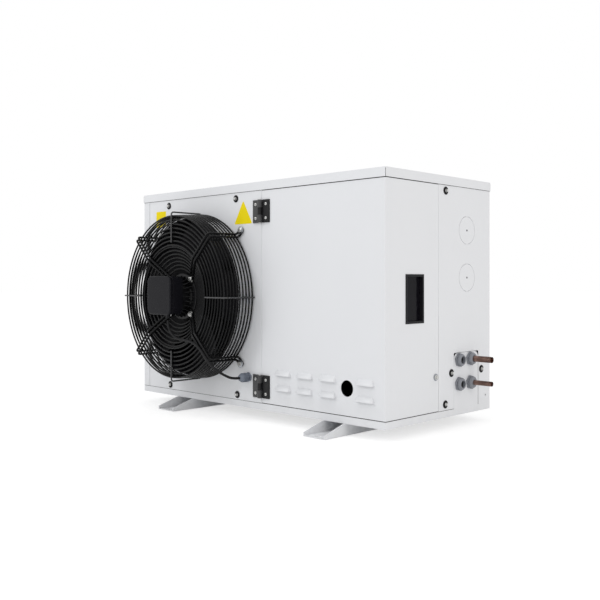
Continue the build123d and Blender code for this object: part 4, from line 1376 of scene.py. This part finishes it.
# ------------------------------------------------------------------ fan drive
@dataclass
class FanDrive:
    """External-rotor motor and its terminal box. Profiles are radius and height pairs. Millimetres."""

    half: float = 53.5
    rise: float = 4.0
    corner: float = 17.0
    back_y: float = -103.0
    joint_y: float = -138.0
    front_y: float = -148.0
    lid_screw: float = 42.0
    lug: float = 70.0
    lug_half: float = 11.0
    lug_root: float = 14.0
    lug_y: float = -59.0
    lug_thick: float = 8.6
    rib_count: int = 24
    rib_thick: float = 1.8
    rib_y: float = -68.0
    screw: tuple[Pair, ...] = ((0, 0), (4.2, 0), (4.2, 1.2), (3.2, 1.5), (0, 1.5))
    spout: tuple[Pair, ...] = ((0, -6), (9.5, -6), (9.5, 3), (7.5, 5), (6, 12), (4.2, 13), (0, 13))
    neck: tuple[Pair, ...] = ((0, 103), (43, 103), (46, 100), (46, 72), (49, 68), (63, 68), (66, 66),
                              (66, 59), (64, 57), (40, 57), (40, -4), (0, -4))
    rib: tuple[Pair, ...] = ((45, 0), (61, 0), (47, 22), (45, 22))
    shell: tuple[Pair, ...] = ((0, -20), (34, -20), (44, -17.5), (49, -13), (51, -7), (51, 50.5), (50, 52),
                               (48, 52), (47, 50), (47, -8), (42, -14), (8, -14), (8, 48), (0, 48))

    def box_shell(self, name: str, half: float, start: float, end: float, node: str, bevel: float) -> None:
        """One half of the terminal box.

        Args:
            name: the piece's name.
            half: half its width.
            start: depth of its rear edge.
            end: depth of its front face.
            node: the CAD node it stands for.
            bevel: rounding of its rim.
        """
        bm = bmesh.new()
        size = (2 * half * MM, 2 * half * MM)
        outline = rounded_rectangle(on_fan(0, start, self.rise), X, Z, size, self.corner * MM, 8)
        extrusion(bm, outline, Y * ((end - start) * MM))
        settle(name, bm, Finish.BOX_PLASTIC, Body.CABINET, (node,), bevel)

    def terminal_box(self) -> None:
        """Body, lid, seam, screws and cable spout."""
        joint, box = self.joint_y, "terminal_box"
        self.box_shell("terminal_box_body", self.half, self.back_y, joint + 0.8, box, 1.2 * MM)
        self.box_shell("terminal_box_seam", self.half - 1.5, joint + 1.2, joint - 0.6, box, 0)
        self.box_shell("terminal_box_cover", self.half + 0.8, joint, self.front_y,
                       "terminal_box_lid", 3.4 * MM)
        screws, slot_shade = bmesh.new(), bmesh.new()
        for a, b in CORNERS:
            seat = on_fan(a * self.lid_screw, self.front_y + 1.6, b * self.lid_screw + self.rise)
            lathe(screws, scaled(self.screw), seat, -Y, 24)
            # Painted shade: a thin dark bar on each lid screw for the shade in its slot.
            bar(slot_shade, seat - Y * 1.45 * MM, X * (3 * MM), Z * (0.5 * MM), -Y * 0.12 * MM)
        settle("terminal_lid_screws", screws, Finish.ZINC, Body.CABINET)
        settle("terminal_lid_slot_shade", slot_shade, Finish.DARK, Body.CABINET)
        bm = bmesh.new()
        lathe(bm, scaled(self.spout), on_fan(8, -121, self.rise - self.half + 3), -Z, 32)
        settle("terminal_box_spout", bm, Finish.BLACK_PLASTIC, Body.CABINET, (box,))
        bm = bmesh.new()
        under = on_fan(-20, -120, self.rise - self.half)
        extrusion(bm, rounded_rectangle(under, X, Y, (40 * MM, 22 * MM), 1 * MM), -Z * 0.3 * MM)
        settle("terminal_box_strip", bm, Finish.TEAL, Body.CABINET)

    def stator(self) -> None:
        """Neck, ribbed flange and the lugs under the guard's arms."""
        bm = bmesh.new()
        lathe(bm, scaled(self.neck), FAN, -Y, 64)
        ribs(bm, on_fan(0, self.rib_y, 0), (X, Z, -Y), self.rib, self.rib_count, self.rib_thick)
        half, foot = self.lug_half * MM, self.lug_root * MM
        for i in range(4):
            out, side = outwards(X, Z, math.radians(45 + 90 * i))
            centre = on_fan(0, self.lug_y, 0) + out * self.lug * MM
            outline = [centre + out * (half * math.cos(b)) + side * (half * math.sin(b)) for b in
                       (math.radians(-90 + 15 * k) for k in range(13))]
            outline += [centre - out * foot + side * half, centre - out * foot - side * half]
            extrusion(bm, outline, -Y * self.lug_thick * MM)
        settle("motor_stator_casting", bm, Finish.IRON, Body.CABINET, ("motor_stator",), 0.5 * MM)
        ScrewSet("motor_screws", Body.CABINET, Finish.ZINC, washer_radius=9.5 * MM, flats=8.5 * MM,
                 flange=6 * MM, outward=(self.lug - 58) * MM).build()

    def can(self) -> None:
        """Turning shell of the motor, with its shaft."""
        bm = bmesh.new()
        lathe(bm, scaled(self.shell), FAN, -Y, 72)
        settle("rotor_can_shell", bm, Finish.IRON, Body.ROTOR, ("rotor_can",))

    def build(self) -> None:
        """Makes the motor."""
        self.terminal_box()
        self.stator()
        self.can()


@dataclass
class Impeller:
    """Sickle-bladed moulded wheel pressed on the motor's can. Millimetres and degrees."""

    blades: int = 5
    first: float = 20.0
    hub: float = 56.0
    tip: float = 222.0
    middle_y: float = -26.0
    pitch: float = 17.0
    camber: float = 14.0
    half_chord: float = 122.0
    thick: float = 3.4
    leading: tuple[Pair, ...] = ((58.8, -35.3), (162.0, -30.4), (222.0, -16.2))
    trailing: tuple[Pair, ...] = ((58.8, 35.3), (126.3, 29.4), (222.0, 32.1))
    spans: int = 18
    chords: int = 22

    @staticmethod
    def bearing(stations: Sequence[Pair], radius: float) -> float:
        """Direction of an edge at a radius, by the parabola through its stations.

        Args:
            stations: radius and direction of three points on the edge.
            radius: where to read it.

        Returns:
            The direction in degrees.
        """
        total = 0.0
        for i, (r, angle) in enumerate(stations):
            share = 1.0
            for k, (other, _) in enumerate(stations):
                if k != i:
                    share *= (radius - other) / (r - other)
            total += angle * share
        return total

    def skin(self, radius: float, place: float, side: float) -> Vector:
        """A point on a blade standing upright above the axis.

        Args:
            radius: distance from the axis.
            place: 0 at the leading edge, 1 at the trailing edge.
            side: 1 on the front skin, -1 on the rear skin.

        Returns:
            The point, in millimetres from the fan.
        """
        start, end = self.bearing(self.leading, radius), self.bearing(self.trailing, radius)
        angle = math.radians(start + (end - start) * place)
        x, z = radius * math.sin(angle), radius * math.cos(angle)
        body = math.sqrt(max(0.0, 4 * place * (1 - place))) * (1.0 if radius < self.tip - 1 else 0.35)
        lift = x * math.tan(math.radians(self.pitch)) + self.camber * (1 - (x / self.half_chord) ** 2)
        return Vector((x, self.middle_y + lift - side * self.thick / 2 * max(body, 0.12), z))

    def build(self) -> None:
        """Makes the blades and the hub."""
        bm = bmesh.new()
        root = self.hub - 2.5
        radii = [root + (self.tip - root) * i / self.spans for i in range(self.spans)]
        radii += [self.tip - 0.8, self.tip]
        places = [i / self.chords for i in range(self.chords + 1)]
        for blade in range(self.blades):
            turn = Matrix.Rotation(math.radians(self.first + 360 / self.blades * blade), 3, "Y")
            loops = []
            for radius in radii:
                points = [self.skin(radius, p, 1) for p in places]
                points += [self.skin(radius, p, -1) for p in reversed(places)]
                loops.append([bm.verts.new(on_fan(*(turn @ p))) for p in points])
            for first, second in zip(loops, loops[1:]):
                join(bm, first, second)
            bm.faces.new(loops[0])
            bm.faces.new(loops[-1])
        profile = ((51.3, 4), (55, 4), (57, 7), (57, 39), (55.5, 44), (53, 45), (51.3, 45))
        lathe(bm, scaled(profile), FAN, -Y, 72)
        settle("impeller_wheel", bm, Finish.BLADES, Body.ROTOR, ("fan_impeller",), smooth=50)


@dataclass
class MotorLead:
    """Cable from the terminal box to its gland on the fan panel. Millimetres from the fan."""

    route: tuple[Triple, ...] = (
        (8, -121, -66), (8, -121, -92), (42, -117, -119), (90, -112, -119), (132, -110.5, -133),
        (169, -110, -169), (190, -102, -191), (206, -80, -209), (214, -58, -220), (214, -33, -220))
    diameter: float = 7.0
    gland_reach: float = 33.0
    hexagon: Pair = (13.8, 6.0)
    rib: tuple[Pair, ...] = ((11, 9), (12.6, 9.5), (12.6, 25), (11, 26.5))

    def cable(self) -> None:
        """The lead as one smooth line."""
        curve = bpy.data.curves.new("motor_lead", "CURVE")
        curve.dimensions = "3D"
        curve.bevel_depth = self.diameter / 2 * MM
        curve.bevel_resolution = 4
        curve.resolution_u = 12
        curve.use_fill_caps = True
        spline = curve.splines.new("NURBS")
        spline.points.add(len(self.route) - 1)
        for point, place in zip(spline.points, self.route):
            point.co = (*on_fan(*place), 1.0)
        spline.order_u = 3
        spline.use_endpoint_u = True
        curve.materials.append(Paintbox.get(Finish.RUBBER))
        lead = stand("motor_lead", curve)
        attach(lead, Body.CABINET.value)
        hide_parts("fan_cable")

    def gland(self) -> None:
        """Hexagon, long ribbed nut and tapering nose of the panel gland."""
        seat = on_fan(self.route[-1][0], 0, self.route[-1][2])
        reach = self.gland_reach
        bm = bmesh.new()
        wide, thick = self.hexagon
        extrusion(bm, polygon(seat, Y, wide * MM, 6, 0.4), -Y * thick * MM)
        profile = ((0, 5), (11, 5), (11, 7.5), (11.6, 8), (11.6, 26), (10.8, 28), (8.2, reach - 1),
                   (6.4, reach), (0, reach))
        lathe(bm, scaled(profile), seat, -Y, 40)
        ribs(bm, seat, (X, Z, -Y), self.rib, 18, 1.6)
        settle("motor_lead_gland", bm, Finish.BLUE_GREY, Body.CABINET, ("fan_gland",), 0.3 * MM)

    def build(self) -> None:
        """Makes the lead and its gland."""
        self.cable()
        self.gland()


# ------------------------------------------------------------------ pipe service
@dataclass
class PipeService:
    """Glands and copper on the pipe plate. Millimetres."""

    gland_y: Pair = (77.0, 129.0)
    gland_z: Pair = (111.0, 174.0)
    suction_radius: float = 7.95
    liquid_radius: float = 6.35
    wall: float = 1.0
    cable_bore: float = 9.5
    slack: float = 0.3
    suction_run: float = 400.0
    liquid_run: float = -95.0
    discharge_run: float = 70.0
    discharge_out: float = 282.0
    rib: tuple[Pair, ...] = ((15, 6.4), (16.6, 6.8), (16.5, 9), (14.6, 12))
    rim: Pair = (19.4, 5.8)
    backing: Pair = (18.4, 4.0)
    glass_y: Pair = (84.0, 104.0)
    window: tuple[Pair, ...] = ((0, 0), (9, 0), (9, 13), (8, 15), (0, 15))

    def gland(self, y: float, z: float, bore: float, name: str) -> None:
        """One cable gland.

        Args:
            y: its place to the back.
            z: its height.
            bore: radius of its hole.
            name: the piece's name.
        """
        seat = Vector((RIGHT, y * MM, z * MM))
        bm = bmesh.new()
        profile = ((bore, -10), (12.8, -10), (12.8, 5), (15.0, 6), (16.2, 7), (16.2, 8.6), (15.6, 10.6),
                   (14.0, 13.0), (12.2, 14.3), (bore + 0.6, 14.5), (bore, 13.9))
        lathe(bm, scaled(profile), seat, X, 48)
        ribs(bm, seat, (Y, Z, X), self.rib, 20, 1.8)
        settle(f"{name}_nut", bm, Finish.GREY_PLASTIC, Body.CABINET, ("pipe_glands",), 0.4 * MM)
        bm = bmesh.new()
        for (wide, thick), start in ((self.rim, 0.0), (self.backing, -5.5)):
            extrusion(bm, polygon(seat + X * start * MM, X, wide * MM, 6), X * thick * MM)
        settle(f"{name}_hexagon", bm, Finish.GREY_PLASTIC, Body.CABINET, ("pipe_glands",), 0.8 * MM)
        # Painted shade: a dark disc set inside each open cable gland's bore, for the shade down the hole.
        if bore > self.suction_radius + MM:
            bm = bmesh.new()
            extrusion(bm, circle(seat + X * 5.9 * MM, X, (bore - 0.1) * MM, 32), X * 1.2 * MM)
            settle(f"{name}_bore", bm, Finish.DARK, Body.CABINET)

    def pipe(self, name: str, node: str, route: Sequence[Triple], radius: float, bend: float,
             bored: bool = False) -> None:
        """A copper pipe with an open or closed end.

        Args:
            name: the piece's name.
            node: the CAD node it stands for.
            route: its corner points in millimetres.
            radius: outside radius.
            bend: bend radius.
            bored: whether its first end shows the bore.
        """
        path = rounded([Vector(p) * MM for p in route], bend * MM, 10)
        bm = bmesh.new()
        tube(bm, path, radius * MM, 28)
        if bored:
            bm.faces.ensure_lookup_table()
            ends = [f for f in bm.faces if len(f.verts) > 4]
            mouth = min(ends, key=lambda f: (f.calc_center_median() - path[0]).length)
            bmesh.ops.inset_region(bm, faces=[mouth], thickness=self.wall * MM, use_even_offset=True)
            deep = bmesh.ops.extrude_discrete_faces(bm, faces=[mouth])["faces"][0]
            bmesh.ops.translate(bm, verts=deep.verts, vec=(path[1] - path[0]).normalized() * 40 * MM)
        settle(name, bm, Finish.COPPER, Body.CABINET, (node,), smooth=50)

    def liquid(self, front: float, rear: float, level: float) -> None:
        """Liquid line with its sight glass, and the line from the receiver.

        Args:
            front: place of the end outside.
            rear: the line's distance to the back.
            level: its height.
        """
        drier, run = middle("filter_drier").x / MM, self.liquid_run
        top, foot = high("filter_drier").y / MM, low("filter_drier").y / MM
        self.pipe("liquid_line_out", "liquid_outlet",
                  [(front, rear, level), (drier, rear, level), (drier, top, level)],
                  self.liquid_radius, 16, True)
        bm = bmesh.new()
        start, end = self.glass_y
        extrusion(bm, polygon(Vector((drier, start, level)) * MM, Y, 11 * MM, 6), Y * (end - start) * MM)
        lathe(bm, scaled(self.window), Vector((drier, (start + end) / 2, level)) * MM, Z, 32)
        settle("sight_glass", bm, Finish.BRASS, Body.CABINET, ("liquid_outlet",), 0.6 * MM)
        tank, valve = joint_place("liquid_valve_turn").x / MM, low("liquid_valve").y / MM
        self.pipe("liquid_line_in", "liquid_inlet",
                  [(drier, foot, level), (drier, run, level), (tank, run, level), (tank, valve, level)],
                  self.liquid_radius, 22)

    def build(self) -> None:
        """Makes the glands and the pipes."""
        front, rear = self.gland_y
        bottom, top = self.gland_z
        self.gland(front, bottom, self.cable_bore, "supply_gland")
        self.gland(front, top, self.cable_bore, "control_gland")
        self.gland(rear, bottom, self.liquid_radius + self.slack, "liquid_gland")
        self.gland(rear, top, self.suction_radius + self.slack, "suction_gland")
        end, valve_x = high("suction_pipe").x / MM, low("suction_valve").x / MM + 50
        valve, run = joint_place("suction_valve_turn") / MM, self.suction_run
        self.pipe("suction_line", "suction_pipe",
                  [(end, rear, top), (run, rear, top), (run, valve.y, top), (run, valve.y, valve.z),
                   (valve_x, valve.y, valve.z)], self.suction_radius, 28, True)
        self.liquid(end, rear, bottom)
        coil_x, coil_y = high("coil_header").x / MM, middle("coil_header").y / MM
        run, low_z, high_z = self.discharge_run, self.discharge_out, high("discharge_pipe").z / MM - 5.87
        self.pipe("discharge_line", "discharge_pipe",
                  [(low("compressor").x / MM, valve.y, low_z), (run, valve.y, low_z), (run, valve.y, high_z),
                   (run, coil_y, high_z), (coil_x, coil_y, high_z)], self.liquid_radius, 24)
        drain = middle("condensate_pipe") / MM
        self.pipe("condensate_line", "condensate_pipe",
                  [(end("condensate_pipe").x / MM, drain.y, drain.z) for end in (low, high)],
                  self.liquid_radius, 20)


# ------------------------------------------------------------------ condenser
@dataclass
class Condenser:
    """Finned coil with its return bends and the wire grid behind it. Millimetres."""

    columns: int = 14
    rows: int = 16
    wire: float = 1.5
    bend: float = 4.6

    def bends(self) -> None:
        """Hairpin bends at the coil's left end."""
        bm = bmesh.new()
        for lowest, highest in solids("return_bends"):
            y = (lowest.y + highest.y) / 2
            inset = self.bend * MM
            x0, x1 = highest.x, lowest.x + inset
            z0, z1 = lowest.z + inset, highest.z - inset
            route = [Vector((x0, y, z0)), Vector((x1, y, z0)), Vector((x1, y, z1)), Vector((x0, y, z1))]
            tube(bm, rounded(route, 12 * MM, 8), inset, 14)
        settle("coil_return_bends", bm, Finish.COPPER, Body.CABINET, ("return_bends",), smooth=80)

    def grid(self) -> None:
        """Crossed wires over the back of the coil."""
        bm = bmesh.new()
        lowest, highest = low("coil_guard"), high("coil_guard")
        r = self.wire * MM
        for i in range(self.columns + 1):
            x = lowest.x + r + (highest.x - lowest.x - 2 * r) * i / self.columns
            tube(bm, [Vector((x, highest.y - r, lowest.z)), Vector((x, highest.y - r, highest.z))], r, 8)
        for i in range(self.rows + 1):
            z = lowest.z + r + (highest.z - lowest.z - 2 * r) * i / self.rows
            tube(bm, [Vector((lowest.x, lowest.y + r, z)), Vector((highest.x, lowest.y + r, z))], r, 8)
        settle("coil_guard_wires", bm, Finish.WIRE, Body.CABINET, ("coil_guard",), smooth=80)

    def build(self) -> None:
        """Dresses the coil and adds its bends and grid."""
        dress(Finish.FINS, "coil_block")
        dress(Finish.GALVANISED, "coil_end_plates")
        dress(Finish.COPPER, "coil_header")
        self.bends()
        self.grid()


# ------------------------------------------------------------------ machine compartment
@dataclass
class MachineRoom:
    """Compressor, receiver, valves and controls behind the door. Profiles and sockets in millimetres."""

    bead: float = 2.2 * MM
    bead_share: float = 0.72
    bead_offset: float = 125 * MM
    compressor_side: tuple[Pair, ...] = (
        (0, 0), (60, 0), (80, 12), (88, 34), (88, 238), (78, 262), (50, 280), (20, 290), (0, 290))
    compressor_sockets: tuple[Pair, Pair] = ((13, 214.5), (10, 230.5))
    receiver_side: tuple[Pair, ...] = (
        (0, 14), (30, 14), (42, 21), (48, 36), (48, 248), (40, 262), (16, 270), (0, 270))
    receiver_sockets: Pair = (10, 11)
    socket: float = 8.0
    drier_side: tuple[Pair, ...] = (
        (0, 0), (9, 0), (9, 8), (26, 22), (26, 93), (9, 107), (9, 115), (0, 115))

    def weld_bead(self) -> None:
        """A weld bead round the compressor's shell."""
        lowest, highest = low("compressor"), high("compressor")
        radius = (highest.y - lowest.y) / 2
        valve = joint_place("suction_valve_turn")
        height = lowest.z + (highest.z - lowest.z) * self.bead_share
        centre = Vector((valve.x - self.bead_offset, (lowest.y + highest.y) / 2, height))
        bm = bmesh.new()
        tube(bm, circle(centre, Z, radius - 0.6 * MM, 72), self.bead, 8, True)
        settle("compressor_weld_bead", bm, Finish.IRON, Body.CABINET, smooth=80)

    def shell(self, name: str, node: str, seat: Vector, axis: Vector, side: Sequence[Pair]) -> None:
        """A smooth pressed shell in the place of a CAD node.

        Args:
            name: the piece's name.
            node: the CAD node it stands for.
            seat: the middle of its first end.
            axis: the direction of its length.
            side: radius and height pairs in millimetres.
        """
        corners = [Vector((radius, 0, height)) * MM for radius, height in side]
        path = rounded(corners, 9 * MM, 6)
        bm = bmesh.new()
        lathe(bm, [(max(point.x, 0.0), point.z) for point in path], seat, axis, 72)
        settle(name, bm, Finish.IRON, Body.CABINET, (node,), smooth=60)

    def shells(self) -> None:
        """Compressor, receiver and filter drier."""
        lowest, highest = low("compressor"), high("compressor")
        radius = (highest.y - lowest.y) / 2
        seat = Vector((lowest.x + radius + self.socket * MM, lowest.y + radius, lowest.z))
        self.shell("compressor_shell", "compressor", seat, Z, self.compressor_side)
        sockets = bmesh.new()
        for end, (bore, height) in zip((highest.x, lowest.x), self.compressor_sockets):
            start = seat + Z * height * MM
            tube(sockets, [start, Vector((end, start.y, start.z))], bore * MM, 28)
        settle("compressor_sockets", sockets, Finish.IRON, Body.CABINET, ("compressor",), 0.6 * MM)
        lowest, highest = low("receiver"), high("receiver")
        radius, height = (highest.x - lowest.x - self.socket * MM) / 2, self.receiver_side[-1][1] * MM
        tank = Vector((highest.x - radius, highest.y - radius, highest.z - height))
        self.shell("receiver_shell", "receiver", tank, Z, self.receiver_side)
        sockets = bmesh.new()
        inlet, drier = middle("condensate_pipe"), middle("filter_drier")
        side, front = self.receiver_sockets
        for start, end, bore in (
                ((tank.x, inlet.y, inlet.z), (lowest.x, inlet.y, inlet.z), side),
                ((tank.x, tank.y, drier.z), (tank.x, lowest.y, drier.z), front)):
            tube(sockets, [Vector(start), Vector(end)], bore * MM, 28)
        settle("receiver_sockets", sockets, Finish.IRON, Body.CABINET, ("receiver",), 0.6 * MM)
        start = Vector((drier.x, low("filter_drier").y, drier.z))
        self.shell("drier_shell", "filter_drier", start, Y, self.drier_side)

    def build(self) -> None:
        """Dresses the machinery."""
        self.shells()
        dress(Finish.GALVANISED, "partition", "control_bracket", "electrical_box", "electrical_cover",
              "receiver_foot", "compressor_feet")
        dress(Finish.BLACK_PLASTIC, "compressor_terminals", "controller", "pressure_switch")
        dress(Finish.RUBBER, "compressor_mounts")
        dress(Finish.BRASS, "suction_valve", "liquid_valve")
        dress(Finish.ZINC, "suction_spindle", "liquid_spindle", "compressor_bolts")
        self.weld_bead()


# ------------------------------------------------------------------ studio
@dataclass
class Studio:
    """Pale floor, soft light and the camera."""

    eye: Triple = (1.6781, -1.6993, 0.3864)
    turn: float = 0.7556
    lens: float = 48.66
    shift: Pair = (-0.05, -0.0357)
    sky: float = 0.8
    floor_glow: float = 0.62
    floor_share: float = 0.5
    floor_size: float = 20.0
    floor_drop: float = 0.0005
    aim: Triple = (0, 0, 0.33)
    lamps: tuple[tuple[str, Triple, float, float, Triple], ...] = (
        ("left_bank", (-1.2, -3.2, 2.2), 20.0, 0.7, (0.985, 0.99, 1.0)),
        ("right_bank", (3.6, -0.4, 1.6), 15.0, 1.2, (1.0, 0.95, 0.89)),
        ("top_bank", (0.2, -0.9, 3.0), 10.0, 0.9, (1.0, 1.0, 1.0)))

    def camera(self) -> None:
        """Puts the camera in place."""
        data = bpy.data.cameras.new("camera")
        data.lens = self.lens
        data.sensor_width = 36.0
        data.shift_x, data.shift_y = self.shift
        data.clip_start, data.clip_end = 0.05, 60.0
        camera = stand("camera", data)
        camera.location = self.eye
        camera.rotation_euler = (math.pi / 2, 0.0, self.turn)
        bpy.context.scene.camera = camera

    def world(self) -> None:
        """Even light, white where the camera or a reflection looks past the object."""
        world = bpy.data.worlds.new("studio")
        bpy.context.scene.world = world
        graph = Graph(world)
        levels = {"Value": graph.seen(), "To Min": self.sky, "To Max": 1.0}
        strength = graph.node("ShaderNodeMapRange", None, levels)
        light = graph.node("ShaderNodeBackground", None, {"Color": rgb(1, 1, 1), "Strength": strength})
        graph.node("ShaderNodeOutputWorld", None, {"Surface": light})

    def lights(self) -> None:
        """Three large soft lamps aimed at the cabinet."""
        for name, place, power, size, colour in self.lamps:
            data = bpy.data.lights.new(name, "AREA")
            data.energy = power
            data.color = colour
            data.shape = "SQUARE"
            data.size = size
            lamp = stand(name, data)
            lamp.location = place
            lamp.rotation_euler = (Vector(self.aim) - Vector(place)).to_track_quat("-Z", "Y").to_euler()

    def floor(self) -> None:
        """White floor that shows white to the camera and keeps the shadow."""
        graph = Graph.named("studio_floor")
        share = self.floor_share
        plain = graph.node("ShaderNodeBsdfDiffuse", None, {"Color": rgb(0.98, 0.98, 0.98)})
        shadow = graph.node("ShaderNodeBsdfDiffuse", None, {"Color": rgb(share, share, share)})
        glow = graph.node("ShaderNodeEmission", None, {"Color": rgb(1, 1, 1), "Strength": self.floor_glow})
        shown = graph.node("ShaderNodeAddShader", None, {0: shadow, 1: glow})
        surface = graph.node("ShaderNodeMixShader", None, {0: graph.seen(), 1: plain, 2: shown})
        graph.node("ShaderNodeOutputMaterial", None, {"Surface": surface})
        bm = bmesh.new()
        bmesh.ops.create_grid(bm, x_segments=1, y_segments=1, size=self.floor_size)
        mesh = bpy.data.meshes.new("floor")
        bm.to_mesh(mesh)
        bm.free()
        mesh.materials.append(graph.owner)
        floor = stand("floor", mesh)
        floor.location.z = CAD_BOX[0][2] - self.floor_drop

    def build(self) -> None:
        """Sets up the studio."""
        self.camera()
        self.world()
        self.lights()
        self.floor()
        bpy.context.scene.view_settings.view_transform = "Standard"


def main() -> None:
    """Builds every sub-assembly."""
    logging.basicConfig(level=logging.INFO, format="%(message)s")
    Studio().build()
    for assembly in (Cabinet(), FanPlate(), Door(), FanGuard(), FanDrive(), Impeller(), MotorLead(),
                     PipeService(), Condenser(), MachineRoom()):
        LOG.info("-- %s", type(assembly).__name__)
        assembly.build()


if __name__ == "__main__":
    main()
